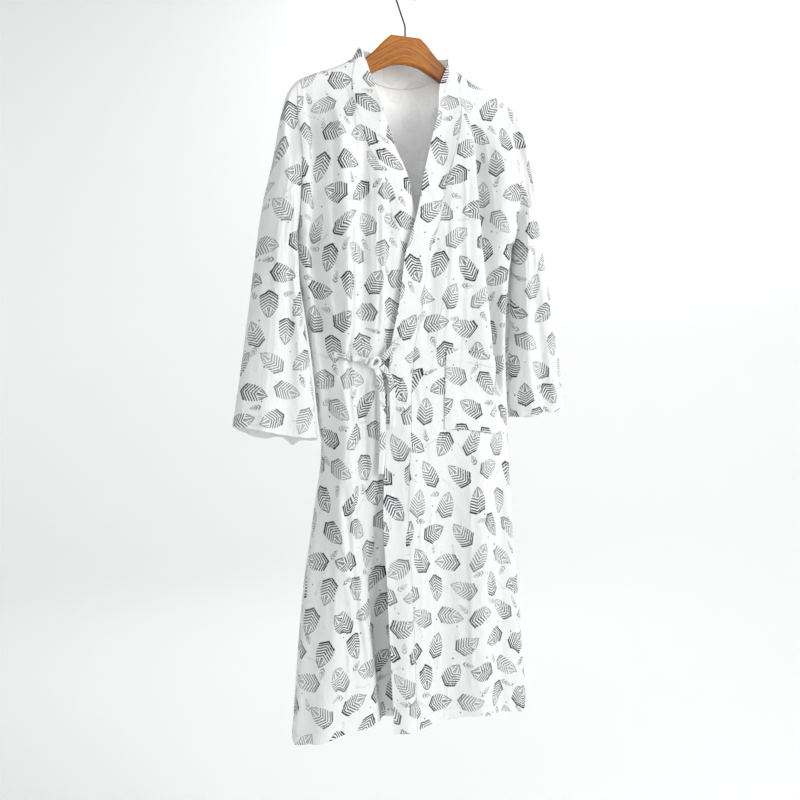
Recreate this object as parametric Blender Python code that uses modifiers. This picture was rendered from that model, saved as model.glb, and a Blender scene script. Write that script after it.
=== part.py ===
"""Kimono robe on a wooden hanger, cut in panels from its sizes.

Metres. The origin is the inside top of the wire hook, +Z up, +X to the
viewer's right, and the front of the robe faces -Y.
"""

import math

import bmesh
import bpy
import numpy as np

CLOTH = 0.0016
BAND_CLOTH = 0.0022
TIE_CLOTH = 0.0020
SEAM = 0.0004
SEAM_AT_NECK = 0.0006
BAND_SEAM = 0.0005
NECK = 0.101
NECK_BACK = 0.052
NECK_DIP = 0.029
BAND_TOP = 0.0885
BAND_BACK = 0.040
BAND_RISE = 0.0235
BAND_WIDTH = 0.045
BAND_CLEAR = 0.0112
BAND_TURN = 0.010
BAND_RISE_FADE = 0.070
RIM_DIP = 0.004
RIM_WAVE = 0.005
BAND_PARTS = (0.0, 0.5, 1.0)
NECK_BLEND_LOW = -0.235
NECK_BLEND = 0.075
SLOPE_STEP = 0.005
ARMHOLE_LOW = -0.475
ARMHOLE_DEPTH = 0.042
SHOULDER_LIFT = 0.0038
NECK_LIFT = 0.0040
NECK_LIFT_WIDTH = 0.018
TIP_SLOPE = 0.55
SHOULDER_ROUND = 0.0104
SHOULDER_FALL = 0.15
ROUND_END = 0.05
ROUND_FADE = 0.15
SIDE_FADE = 0.14
NECK_SETTLE = 0.10
SIDE_POWER = 0.36
HEM = -1.372
UNDER_HEM_RISE = 0.018
OVER_HEM_RISE = 0.010
UNDER_DROP = 0.0100
UNDER_LAP = 0.030
UNDER_LAP_FADE = 0.028
LAP_TOP = -0.33
LAP_FADE = 0.10
NECK_STATIONS = 10
BACK_SIDE_COLUMNS = 6
FRONT_COLUMNS = 22
FRONT_CROWDING = 1.25
SLEEVE_ROUND = 24
SLEEVE_FLATNESS = 0.80
SLEEVE_BLEND = 0.28
SLEEVE_FOLD_FADE = 0.25
CUFF_LEVEL = 0.2
ROW_DROPS = (0.0, 0.0015, 0.005, 0.011, 0.025, 0.05, 0.085, 0.125, 0.165, 0.205,
             0.245, 0.29, 0.335, 0.38, 0.425, 0.465, 0.492, 0.510, 0.528, 0.560,
             0.61, 0.67, 0.74, 0.82, 0.90, 0.98, 1.06, 1.14, 1.21)

BODY_COLUMNS = ("height", "left", "right", "middle", "front", "back")
BODY = (
    (-0.150, -0.205, 0.2155, 0.000, 0.045, 0.040),
    (-0.300, -0.205, 0.2155, 0.000, 0.050, 0.046),
    (-0.400, -0.205, 0.2155, 0.000, 0.055, 0.052),
    (-0.475, -0.205, 0.2155, 0.000, 0.058, 0.056),
    (-0.530, -0.193, 0.2085, 0.000, 0.060, 0.057),
    (-0.610, -0.170, 0.2025, 0.000, 0.058, 0.056),
    (-0.700, -0.153, 0.2000, 0.000, 0.050, 0.052),
    (-0.800, -0.153, 0.2060, 0.000, 0.050, 0.056),
    (-0.960, -0.172, 0.2145, -0.002, 0.047, 0.066),
    (-1.120, -0.195, 0.2290, -0.005, 0.038, 0.080),
    (-1.372, -0.215, 0.2515, -0.008, 0.026, 0.094),
)

EDGE_COLUMNS = ("height", "over", "under")
EDGES = (
    (-0.130, 0.0850, -0.0900),
    (-0.150, 0.0790, -0.0820),
    (-0.189, 0.0625, -0.0680),
    (-0.250, 0.0445, -0.0580),
    (-0.311, 0.0285, -0.0400),
    (-0.362, 0.0155, -0.0160),
    (-0.425, 0.0035, 0.0000),
    (-0.516, -0.0235, 0.0300),
    (-0.587, -0.0325, 0.0480),
    (-0.675, -0.0465, 0.0600),
    (-0.834, -0.0555, 0.0640),
    (-0.976, -0.0595, 0.0620),
    (-1.119, -0.0495, 0.0580),
    (-1.372, -0.0345, 0.0520),
)

FOLD_COLUMNS = ("top_x", "top_z", "low_x", "low_z", "bow", "left_width",
                "right_width", "lift", "fade_in", "fade_out", "spread")
RIGHT_FOLDS = (
    (-0.182, -0.23, -0.174, -0.70, 0.000, 0.014, 0.014, -0.020, 0.10, 0.08, 1.0),
    (-0.143, -0.19, -0.128, -0.69, 0.000, 0.013, 0.020, 0.016, 0.10, 0.05, 1.0),
    (-0.095, -0.24, -0.096, -0.68, 0.000, 0.008, 0.018, -0.012, 0.10, 0.06, 1.0),
    (-0.070, -0.30, -0.072, -0.67, 0.000, 0.014, 0.012, 0.007, 0.08, 0.08, 1.0),
    (-0.047, -0.36, -0.050, -0.67, 0.000, 0.008, 0.014, -0.008, 0.08, 0.08, 1.0),
    (-0.128, -0.71, -0.170, -1.372, 0.008, 0.020, 0.028, 0.020, 0.12, 0.00, 1.5),
    (-0.098, -0.71, -0.092, -1.10, 0.000, 0.010, 0.016, -0.014, 0.06, 0.25, 1.3),
)
DEEP_FOLDS = (
    (-0.106, -0.86, -0.034, -1.372, 0.000, 0.012, 0.070, -0.040, 0.42, 0.00, 1.6),
)
LEFT_FOLDS = (
    (0.098, -0.17, 0.172, -0.78, -0.014, 0.034, 0.010, 0.016, 0.10, 0.10, 1.0),
    (0.132, -0.20, 0.198, -0.80, -0.014, 0.011, 0.024, -0.040, 0.12, 0.10, 1.0),
    (0.074, -0.26, 0.058, -0.68, 0.000, 0.012, 0.015, 0.006, 0.08, 0.08, 1.0),
    (0.036, -0.44, 0.018, -0.70, 0.000, 0.010, 0.012, -0.006, 0.06, 0.06, 1.0),
    (0.062, -0.74, 0.074, -1.60, 0.000, 0.024, 0.030, -0.014, 0.45, 0.00, 1.3),
    (0.128, -0.76, 0.146, -1.60, 0.000, 0.024, 0.026, 0.012, 0.15, 0.00, 1.2),
    (0.178, -0.84, 0.200, -1.60, 0.000, 0.014, 0.016, -0.010, 0.15, 0.00, 1.2),
    (-0.016, -0.72, -0.006, -1.60, 0.000, 0.020, 0.024, 0.008, 0.10, 0.00, 1.0),
)
BACK_FOLDS = (
    (-0.168, -0.24, -0.156, -1.60, 0.000, 0.020, 0.016, 0.016, 0.10, 0.00, 1.2),
    (-0.118, -0.26, -0.104, -1.60, 0.006, 0.014, 0.020, -0.018, 0.12, 0.00, 1.2),
    (-0.055, -0.38, -0.052, -1.60, 0.000, 0.022, 0.016, 0.012, 0.20, 0.00, 1.2),
    (0.010, -0.44, 0.014, -1.60, 0.005, 0.020, 0.024, -0.012, 0.20, 0.00, 1.2),
    (0.074, -0.34, 0.082, -1.60, 0.000, 0.016, 0.022, 0.014, 0.20, 0.00, 1.2),
    (0.126, -0.26, 0.138, -1.60, -0.005, 0.020, 0.014, -0.018, 0.12, 0.00, 1.2),
    (0.178, -0.24, 0.194, -1.60, 0.000, 0.018, 0.018, 0.015, 0.10, 0.00, 1.2),
)

SLEEVE_COLUMNS = ("along", "outer_x", "outer_z", "inner_x", "inner_z", "depth",
                  "back_drop")
RIGHT_SLEEVE = (
    (0.06, -0.2195, -0.228, -0.2085, -0.492, 0.050, 0.000),
    (0.15, -0.2310, -0.270, -0.2085, -0.515, 0.050, 0.000),
    (0.28, -0.2425, -0.335, -0.2060, -0.548, 0.049, 0.001),
    (0.42, -0.2655, -0.434, -0.1990, -0.600, 0.047, 0.002),
    (0.56, -0.2780, -0.520, -0.1900, -0.655, 0.044, 0.004),
    (0.70, -0.2885, -0.600, -0.1820, -0.710, 0.041, 0.006),
    (0.85, -0.3030, -0.705, -0.1745, -0.772, 0.038, 0.008),
    (1.00, -0.3185, -0.808, -0.1680, -0.832, 0.036, 0.010),
)
LEFT_SLEEVE = (
    (0.06, 0.2265, -0.230, 0.2185, -0.492, 0.050, 0.000),
    (0.15, 0.2370, -0.262, 0.2185, -0.515, 0.050, 0.000),
    (0.28, 0.2490, -0.325, 0.2180, -0.548, 0.049, 0.001),
    (0.42, 0.2655, -0.410, 0.2165, -0.600, 0.047, 0.002),
    (0.56, 0.2815, -0.497, 0.2150, -0.652, 0.044, 0.004),
    (0.70, 0.2980, -0.575, 0.2140, -0.700, 0.041, 0.005),
    (0.85, 0.3165, -0.675, 0.2150, -0.752, 0.038, 0.006),
    (1.00, 0.3315, -0.785, 0.2185, -0.800, 0.036, 0.008),
)
SLEEVE_RINGS = (0.0, 0.03, 0.08, 0.15, 0.23, 0.32, 0.42, 0.52, 0.62, 0.72, 0.82,
                0.91, 1.0)
SLEEVE_FOLD_COLUMNS = ("top_place", "low_place", "width", "lift", "start")
RIGHT_SLEEVE_FOLDS = (
    (0.45, 0.40, 0.22, 0.006, 0.25),
    (-0.10, -0.15, 0.20, -0.007, 0.30),
    (-0.60, -0.62, 0.18, 0.006, 0.35),
)
LEFT_SLEEVE_FOLDS = (
    (0.50, 0.45, 0.20, 0.006, 0.25),
    (0.00, 0.05, 0.22, -0.007, 0.30),
    (-0.55, -0.50, 0.18, 0.006, 0.35),
)

WOOD_THICK = 0.014
WOOD_BEVEL = 0.0035
WOOD_COLUMNS = ("across", "top", "bottom")
WOOD = (
    (0.0000, -0.1040, -0.1540),
    (0.0140, -0.1040, -0.1550),
    (0.0285, -0.1042, -0.1585),
    (0.0400, -0.1140, -0.1640),
    (0.0520, -0.1270, -0.1700),
    (0.0660, -0.1415, -0.1780),
    (0.0800, -0.1530, -0.1855),
    (0.1000, -0.1625, -0.1955),
    (0.1200, -0.1715, -0.2050),
    (0.1425, -0.1810, -0.2148),
    (0.1650, -0.1903, -0.2240),
    (0.1950, -0.2045, -0.2370),
    (0.2040, -0.2110, -0.2310),
)
WOOD_TIP = 0.2040

WIRE = 0.0016
HOOK_RADIUS = 0.0226
HOOK_BEND = -0.085
HOOK_FOOT = -0.125
HOLE_RADIUS = 0.0021
HOOK_END_DEGREES = -38.0
HOOK_POINTS = 17
HOOK_EASE = ((0.0000, -0.0040), (-0.0006, 0.0020))
HOLE_DEPTH = 0.0600
HOLE_SPARE = 0.0005

POCKET_DROPS = (0.504, 0.654)
POCKET_SIDES = (5.5, 15.4)
POCKET_OFF = 0.0007
POCKET_SAG = 0.0035

TIE_WIDTH = 0.011
TIE_FEEL = 0.006
SIDE_FEEL = 0.004
KNOT = (-0.0770, -0.697)
KNOT_SIZE = (0.022, 0.013, 0.016)
KNOT_OFF = -0.0008
TIE_COLUMNS = ("across", "height", "off")
SIDE_TIE = ((-0.1460, -0.684, 0.0050), (-0.1390, -0.685, 0.0052), (-0.1310, -0.686, 0.0052),
            (-0.1220, -0.688, 0.0050), (-0.1120, -0.690, 0.0048), (-0.1010, -0.692, 0.0062),
            (-0.0900, -0.696, 0.0100))
FRONT_TIE = ((-0.0655, -0.692, 0.0080), (-0.0570, -0.684, 0.0080), (-0.0480, -0.675, 0.0060),
             (-0.0380, -0.665, 0.0038), (-0.0280, -0.656, 0.0031))
SHORT_END = ((-0.0660, -0.704, 0.0080), (-0.0560, -0.714, 0.0085), (-0.0480, -0.728, 0.0070),
             (-0.0450, -0.750, 0.0050), (-0.0440, -0.780, 0.0036), (-0.0440, -0.812, 0.0027))
LONG_END = ((-0.0740, -0.7068, 0.0070), (-0.0690, -0.724, 0.0070), (-0.0640, -0.750, 0.0060),
            (-0.0620, -0.790, 0.0055), (-0.0620, -0.840, 0.0040), (-0.0640, -0.895, 0.0027))


def ease(value):
    value = np.clip(value, 0.0, 1.0)
    return value * value * (3.0 - 2.0 * value)


def read(table, columns, name, at):
    rows = np.array(table, float)
    rows = rows[np.argsort(rows[:, 0])]
    xs = rows[:, 0]
    ys = rows[:, columns.index(name)]
    steps = np.diff(xs)
    rates = np.diff(ys) / steps
    slopes = np.zeros(len(xs))
    slopes[0] = rates[0]
    slopes[-1] = rates[-1]
    same = rates[:-1] * rates[1:] > 0.0
    total = np.where(same, rates[:-1] + rates[1:], 1.0)
    slopes[1:-1] = np.where(same, 2.0 * rates[:-1] * rates[1:] / total, 0.0)
    at = np.clip(np.asarray(at, float), xs[0], xs[-1])
    place = np.clip(np.searchsorted(xs, at, side="right") - 1, 0, len(steps) - 1)
    step = steps[place]
    part = (at - xs[place]) / step
    squared = part * part
    cubed = squared * part
    return ((2.0 * cubed - 3.0 * squared + 1.0) * ys[place]
            + (cubed - 2.0 * squared + part) * step * slopes[place]
            + (3.0 * squared - 2.0 * cubed) * ys[place + 1]
            + (cubed - squared) * step * slopes[place + 1])


def body(name, height):
    return read(BODY, BODY_COLUMNS, name, height)


def edge(name, height):
    return read(EDGES, EDGE_COLUMNS, name, height)


def seam_line(name, height):
    edge_x = edge(name, height)
    above = edge(name, height + SLOPE_STEP)
    slope = (above - edge(name, height - SLOPE_STEP)) / (2.0 * SLOPE_STEP)
    width = BAND_WIDTH * np.sqrt(1.0 + slope * slope)
    neck = ease((height - NECK_BLEND_LOW) / NECK_BLEND)
    if name == "over":
        return (edge_x + width) * (1.0 - neck) + NECK * neck
    return (edge_x - width) * (1.0 - neck) - NECK * neck


def shoulder(across):
    wide = np.abs(across)
    top = read(WOOD, WOOD_COLUMNS, "top", np.minimum(wide, WOOD_TIP))
    past = np.maximum(wide - WOOD_TIP, 0.0)
    near_neck = np.exp(-((wide - NECK) / NECK_LIFT_WIDTH) ** 2)
    return top + SHOULDER_LIFT + NECK_LIFT * near_neck - TIP_SLOPE * past


def folds(table, across, height, side):
    total = np.zeros(np.broadcast(across, height).shape)
    for row in table:
        fold = dict(zip(FOLD_COLUMNS, row))
        run = fold["low_x"] - fold["top_x"]
        part = (fold["top_z"] - height) / (fold["top_z"] - fold["low_z"])
        middle = fold["top_x"] + run * part + 4.0 * fold["bow"] * part * (1.0 - part)
        grow = 1.0 + (fold["spread"] - 1.0) * np.clip(part, 0.0, 1.0)
        off = across - middle
        width = np.where(off < 0.0, fold["left_width"], fold["right_width"]) * grow
        amount = ease((fold["top_z"] - height) / fold["fade_in"])
        if fold["fade_out"] > 0.0:
            amount = amount * ease((height - fold["low_z"]) / fold["fade_out"])
        total = total + fold["lift"] * amount * np.exp(-(off / width) ** 2)
    return total * side


def section(across, height, depth_name):
    left = body("left", height)
    right = body("right", height)
    turn = (2.0 * across - left - right) / (right - left)
    turn = np.clip(turn, -1.0, 1.0)
    rounding = (1.0 - turn * turn) ** SIDE_POWER
    armhole_top = shoulder(np.where(across < 0.0, left, right))
    middle = 0.5 * (armhole_top + ARMHOLE_LOW)
    half = 0.5 * (armhole_top - ARMHOLE_LOW)
    gap = ARMHOLE_DEPTH * np.sqrt(np.clip(1.0 - ((height - middle) / half) ** 2, 0.0, 1.0))
    full = gap + (body(depth_name, height) - gap) * rounding
    drop = np.maximum(shoulder(across) - height, 0.0)
    level = np.clip(drop / SHOULDER_ROUND, 0.0, 1.0)
    over_arm = SHOULDER_ROUND * np.sqrt(1.0 - (1.0 - level) ** 2)
    over_arm = over_arm * (1.0 - ease((drop - ROUND_END) / ROUND_FADE))
    falling = full * ease(drop / SHOULDER_FALL)
    depth = (over_arm ** 4 + falling ** 4) ** 0.25
    side = ease((1.0 - np.abs(turn)) / SIDE_FADE)
    return depth, side


def over_front(across, height):
    depth, side = section(across, height, "front")
    lifted = depth + folds(LEFT_FOLDS, across, height, side)
    return body("middle", height) - lifted - 0.5 * SEAM


def under_front(across, height):
    depth, side = section(across, height, "front")
    covered = ease((across - edge("over", height) + UNDER_LAP) / UNDER_LAP_FADE)
    covered = covered * ease((LAP_TOP - height) / LAP_FADE)
    own = folds(RIGHT_FOLDS, across, height, side)
    hidden = folds(LEFT_FOLDS, across, height, side)
    deep = folds(DEEP_FOLDS, across, height, side)
    lifted = depth + own * (1.0 - covered) + hidden * covered + deep
    return body("middle", height) - lifted - 0.5 * SEAM + UNDER_DROP * covered


def back_top(across):
    open_part = np.clip(1.0 - (across / NECK) ** 2, 0.0, 1.0)
    return shoulder(np.maximum(np.abs(across), NECK)) - NECK_DIP * open_part


def back(across, height):
    depth, side = section(across, height, "back")
    open_part = np.clip(1.0 - (across / NECK) ** 2, 0.0, 1.0)
    behind_neck = NECK_BACK * np.sqrt(open_part)
    below = np.maximum(back_top(across) - height, 0.0)
    settled = ease(below / (NECK_SETTLE * open_part + 0.00001))
    depth = behind_neck * (1.0 - settled) + depth * settled
    lifted = depth + folds(BACK_FOLDS, across, height, side)
    return body("middle", height) + lifted + 0.5 * SEAM


def grid_of(across, low, height_of_top, surface, line_near, line_far):
    drops = np.array(ROW_DROPS) / ROW_DROPS[-1]
    points = np.zeros((len(drops), len(across), 3))
    for column, top_x in enumerate(across):
        top = height_of_top(top_x)
        height = top + (low[column] - top) * drops
        start = line_near(height)
        finish = line_far(height)
        top_start = float(line_near(top))
        top_finish = float(line_far(top))
        part = (top_x - top_start) / (top_finish - top_start)
        x = start + (finish - start) * part
        points[:, column, 0] = x
        points[:, column, 1] = surface(x, height)
        points[:, column, 2] = height
    return points


def normals_of(points, wrap=False):
    along = np.gradient(points, axis=0)
    if wrap:
        across = np.roll(points, -1, axis=1) - np.roll(points, 1, axis=1)
    else:
        across = np.gradient(points, axis=1)
    normal = np.cross(across, along)
    size = np.linalg.norm(normal, axis=2, keepdims=True)
    return normal / np.maximum(size, 1e-12)


def unit(vectors):
    return vectors / np.maximum(np.linalg.norm(vectors, axis=-1, keepdims=True), 1e-12)


def material(name, colour, roughness, metallic=0.0):
    found = bpy.data.materials.get(name)
    if found:
        return found
    made = bpy.data.materials.new(name)
    made.use_nodes = True
    shader = made.node_tree.nodes["Principled BSDF"]
    shader.inputs["Base Color"].default_value = (*colour, 1.0)
    shader.inputs["Roughness"].default_value = roughness
    shader.inputs["Metallic"].default_value = metallic
    made.diffuse_color = (*colour, 1.0)
    return made


def mesh_object(name, vertices, faces, surface_material, group):
    mesh = bpy.data.meshes.new(name)
    mesh.from_pydata([tuple(v) for v in vertices], [], [tuple(f) for f in faces])
    mesh.validate()
    shape = bmesh.new()
    shape.from_mesh(mesh)
    bmesh.ops.recalc_face_normals(shape, faces=shape.faces)
    shape.to_mesh(mesh)
    shape.free()
    made = bpy.data.objects.new(name, mesh)
    made.data.materials.append(surface_material)
    for polygon in mesh.polygons:
        polygon.use_smooth = True
    group.objects.link(made)
    return made


def shell(name, points, normals, wall, surface_material, group, wrap=False):
    rows, columns = points.shape[:2]
    outer = points.reshape(-1, 3)
    inner = (points - normals * wall).reshape(-1, 3)
    count = rows * columns
    faces = []
    last = columns if wrap else columns - 1
    for i in range(rows - 1):
        for j in range(last):
            k = (j + 1) % columns
            a = i * columns + j
            b = i * columns + k
            c = (i + 1) * columns + k
            d = (i + 1) * columns + j
            faces.append((a, b, c, d))
            faces.append((d + count, c + count, b + count, a + count))
    for j in range(last):
        k = (j + 1) % columns
        faces.append((k, j, j + count, k + count))
        low = (rows - 1) * columns
        faces.append((low + j, low + k, low + k + count, low + j + count))
    if not wrap:
        for i in range(rows - 1):
            a = i * columns
            b = (i + 1) * columns
            faces.append((a, b, b + count, a + count))
            faces.append((b + columns - 1, a + columns - 1,
                          a + columns - 1 + count, b + columns - 1 + count))
    vertices = np.concatenate([outer, inner])
    return mesh_object(name, vertices, faces, surface_material, group)


def seam_normals(line):
    along = np.gradient(line, axis=0)
    normal = np.stack([np.zeros(len(line)), along[:, 2], -along[:, 1]], axis=1)
    normal = unit(normal)
    normal[0] = (0.0, 0.0, 1.0)
    return normal


def settle_panel_normals(normals, points, near_x, far_x):
    normals[0, :] = (0.0, 0.0, 1.0)
    for column, sign in ((0, near_x), (-1, far_x)):
        if sign == 0.0:
            continue
        open_side = points[:, column, 2] > ARMHOLE_LOW + 0.001
        normals[open_side, column, 0] = 0.0
        normals[~open_side, column] = (sign, 0.0, 0.0)
    normals[-1, :, 2] = 0.0
    return unit(normals)


def front_panel(name, over, group, cloth):
    part = np.linspace(0.0, 1.0, FRONT_COLUMNS) ** FRONT_CROWDING
    if over:
        side_x = float(body("right", 0.0))
        across = side_x + (NECK - side_x) * part
        near = lambda height: body("right", height)
        far = lambda height: seam_line("over", height)
        surface = over_front
        low = HEM + OVER_HEM_RISE * np.sin(math.pi * part)
    else:
        side_x = float(body("left", 0.0))
        across = side_x + (-NECK - side_x) * part
        near = lambda height: body("left", height)
        far = lambda height: seam_line("under", height)
        surface = under_front
        low = HEM + UNDER_HEM_RISE * ease(part / 0.5)
    points = grid_of(across, low, shoulder, surface, near, far)
    normals = normals_of(points)
    if normals[10, FRONT_COLUMNS // 2, 1] > 0.0:
        normals = -normals
    sign = 1.0 if over else -1.0
    normals = settle_panel_normals(normals, points, sign, 0.0)
    normals[:, -1] = seam_normals(points[:, -1])
    shell(name, points, normals, CLOTH, cloth, group)
    return points


def back_columns():
    side = np.linspace(0.0, 1.0, BACK_SIDE_COLUMNS + 1)[:-1]
    left = float(body("left", 0.0))
    right = float(body("right", 0.0))
    angles = np.linspace(0.0, math.pi, NECK_STATIONS + 1)
    neck = -NECK * np.cos(angles)
    return np.concatenate([left + (-NECK - left) * side, neck,
                           (right + (NECK - right) * side)[::-1]])


def back_panel(group, cloth):
    across = back_columns()
    low = np.full(len(across), HEM)
    points = grid_of(across, low, lambda x: float(back_top(np.array(x))), back,
                     lambda height: body("left", height),
                     lambda height: body("right", height))
    normals = normals_of(points)
    if normals[10, len(across) // 2, 1] < 0.0:
        normals = -normals
    top_normals = normals[0].copy()
    normals = settle_panel_normals(normals, points, -1.0, 1.0)
    open_top = np.abs(across) < NECK - 0.0005
    top_normals[:, 2] = np.maximum(top_normals[:, 2], 0.0)
    normals[0, open_top] = top_normals[open_top]
    shell("back_panel", points, unit(normals), CLOTH, cloth, group)


def sleeve(name, table, fold_table, side, group, cloth):
    root_x = float(body(side, 0.0))
    outward = -1.0 if side == "left" else 1.0
    top = float(shoulder(np.array(root_x)))
    first = (0.0, root_x + outward * SEAM, top, root_x + outward * SEAM, ARMHOLE_LOW,
             ARMHOLE_DEPTH, 0.0)
    rows = (first,) + table
    turn = np.linspace(0.0, 2.0 * math.pi, SLEEVE_ROUND + 1)[:-1]
    place = np.cos(turn)
    swing = np.sin(turn)
    root_z = 0.5 * (top + ARMHOLE_LOW) + 0.5 * (top - ARMHOLE_LOW) * place
    root_front = section(np.full(SLEEVE_ROUND, root_x), root_z, "front")[0]
    root_back = section(np.full(SLEEVE_ROUND, root_x), root_z, "back")[0]
    root_y = np.where(swing > 0.0, -root_front, root_back)
    root_y = np.where(np.abs(swing) < 1e-6, 0.0, root_y)
    points = np.zeros((len(SLEEVE_RINGS), SLEEVE_ROUND, 3))
    for ring, along in enumerate(SLEEVE_RINGS):
        value = {name: float(read(rows, SLEEVE_COLUMNS, name, along))
                 for name in SLEEVE_COLUMNS[1:]}
        outer = np.array((value["outer_x"], 0.0, value["outer_z"]))
        inner = np.array((value["inner_x"], 0.0, value["inner_z"]))
        middle = 0.5 * (outer + inner)
        reach = 0.5 * (outer - inner)
        lens = -np.sign(swing) * np.abs(swing) ** SLEEVE_FLATNESS
        lift = np.zeros(SLEEVE_ROUND)
        for row in fold_table:
            fold = dict(zip(SLEEVE_FOLD_COLUMNS, row))
            centre = fold["top_place"] + (fold["low_place"] - fold["top_place"]) * along
            amount = fold["lift"] * float(ease((along - fold["start"]) / SLEEVE_FOLD_FADE))
            lift = lift + amount * np.exp(-((place - centre) / fold["width"]) ** 2)
        lift = lift * np.abs(swing) ** 0.5
        y = lens * (value["depth"] + lift)
        blend = float(ease(along / SLEEVE_BLEND))
        points[ring] = middle + place[:, None] * reach
        points[ring, :, 1] = root_y * (1.0 - blend) + y * blend
        points[ring, :, 2] -= value["back_drop"] * np.maximum(lens, 0.0)
    normals = normals_of(points, wrap=True)
    centre = points.mean(axis=1, keepdims=True)
    if ((points - centre) * normals).sum() < 0.0:
        normals = -normals
    normals[0, :, 0] = 0.0
    normals[-1, :, 2] *= CUFF_LEVEL
    shell(name, points, unit(normals), CLOTH, cloth, group, wrap=True)


def band_points():
    drops = np.array(ROW_DROPS) / ROW_DROPS[-1]
    top = float(shoulder(np.array(NECK)))
    sides = {}
    for name, sign, surface, low in (
            ("under", -1.0, under_front, HEM + UNDER_HEM_RISE),
            ("over", 1.0, over_front, HEM)):
        seam_z = top + (low - top) * drops
        seam_x = seam_line(name, seam_z) - sign * BAND_SEAM
        rise = BAND_RISE * (1.0 - ease((top - seam_z) / BAND_RISE_FADE))
        edge_z = seam_z + rise
        edge_x = edge(name, edge_z)
        sides[name] = []
        for part in BAND_PARTS:
            x = edge_x + (seam_x - edge_x) * part
            z = edge_z + (seam_z - edge_z) * part
            y = surface(x, z)
            if part < 1.0:
                y = np.minimum(y, -BAND_CLEAR * ease((z[0] - z) / BAND_TURN))
            sides[name].append(np.stack([x, y, z], axis=1))
    angles = np.linspace(0.0, math.pi, NECK_STATIONS + 1)[1:-1]
    seam_x = -NECK * np.cos(angles)
    seam_z = back_top(seam_x)
    seam_y = back(seam_x, seam_z)
    top_z = top + BAND_RISE
    edge_z = top_z - RIM_DIP * np.sin(angles) + RIM_WAVE * np.sin(2.0 * angles) ** 2
    edge_x = -BAND_TOP * np.cos(angles)
    edge_y = BAND_BACK * np.sin(angles)
    seam = np.stack([seam_x, seam_y, seam_z + SEAM_AT_NECK], axis=1)
    rim = np.stack([edge_x, edge_y, edge_z], axis=1)
    neck = [rim + (seam - rim) * part for part in BAND_PARTS]
    columns = []
    for part in range(len(BAND_PARTS)):
        columns.append(np.concatenate([sides["under"][part][::-1], neck[part],
                                       sides["over"][part]]))
    return np.stack(columns, axis=1)


def collar_band(group, cloth):
    points = band_points()
    normals = normals_of(points)
    if normals[4, 1, 1] > 0.0:
        normals = -normals
    rows = len(ROW_DROPS)
    normals[0, :, 2] = 0.0
    normals[-1, :, 2] = 0.0
    normals[rows:-rows, -1, 2] = 0.0
    normals[:rows, -1] = seam_normals(points[:rows, -1][::-1])[::-1]
    normals[-rows:, -1] = seam_normals(points[-rows:, -1])
    shell("collar_band", points, unit(normals), BAND_CLOTH, cloth, group)


def on_grid(points, row, column):
    i = min(int(row), points.shape[0] - 2)
    j = min(int(column), points.shape[1] - 2)
    p = row - i
    q = column - j
    return ((1 - p) * (1 - q) * points[i, j] + (1 - p) * q * points[i, j + 1]
            + p * (1 - q) * points[i + 1, j] + p * q * points[i + 1, j + 1])


def steps_between(start, finish):
    inside = [float(n) for n in range(int(start) + 1, int(math.ceil(finish)))]
    return [start] + inside + [finish]


def pocket(panel, group, cloth):
    counts = np.arange(len(ROW_DROPS))
    rows = steps_between(*[float(np.interp(drop, ROW_DROPS, counts)) for drop in POCKET_DROPS])
    columns = steps_between(*POCKET_SIDES)
    panel_normals = normals_of(panel)
    if panel_normals[10, 5, 1] > 0.0:
        panel_normals = -panel_normals
    points = np.zeros((len(rows), len(columns), 3))
    normals = np.zeros_like(points)
    for i, row in enumerate(rows):
        for j, column in enumerate(columns):
            points[i, j] = on_grid(panel, row, column)
            normals[i, j] = on_grid(panel_normals, row, column)
    normals = unit(normals)
    down = (np.array(rows) - rows[0]) / (rows[-1] - rows[0])
    over = (np.array(columns) - columns[0]) / (columns[-1] - columns[0])
    sag = POCKET_SAG * np.exp(-(down / 0.25) ** 2)[:, None] * np.sin(math.pi * over)[None, :]
    points = points + normals * (POCKET_OFF + CLOTH + sag)[..., None]
    shell("patch_pocket", points, normals, CLOTH, cloth, group)


def ribbon(name, path, width, wide_way, group, cloth):
    path = np.array(path, float)
    along = unit(np.gradient(path, axis=0))
    wide = np.tile(np.array(wide_way, float), (len(path), 1))
    wide = unit(wide - along * (along * wide).sum(axis=1, keepdims=True))
    points = np.stack([path - wide * width / 2, path + wide * width / 2], axis=1)
    normal = unit(np.cross(along, wide))
    if normal[:, 1].sum() > 0.0:
        normal = -normal
    normals = np.stack([normal, normal], axis=1)
    shell(name, points, normals, TIE_CLOTH, cloth, group)


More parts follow.
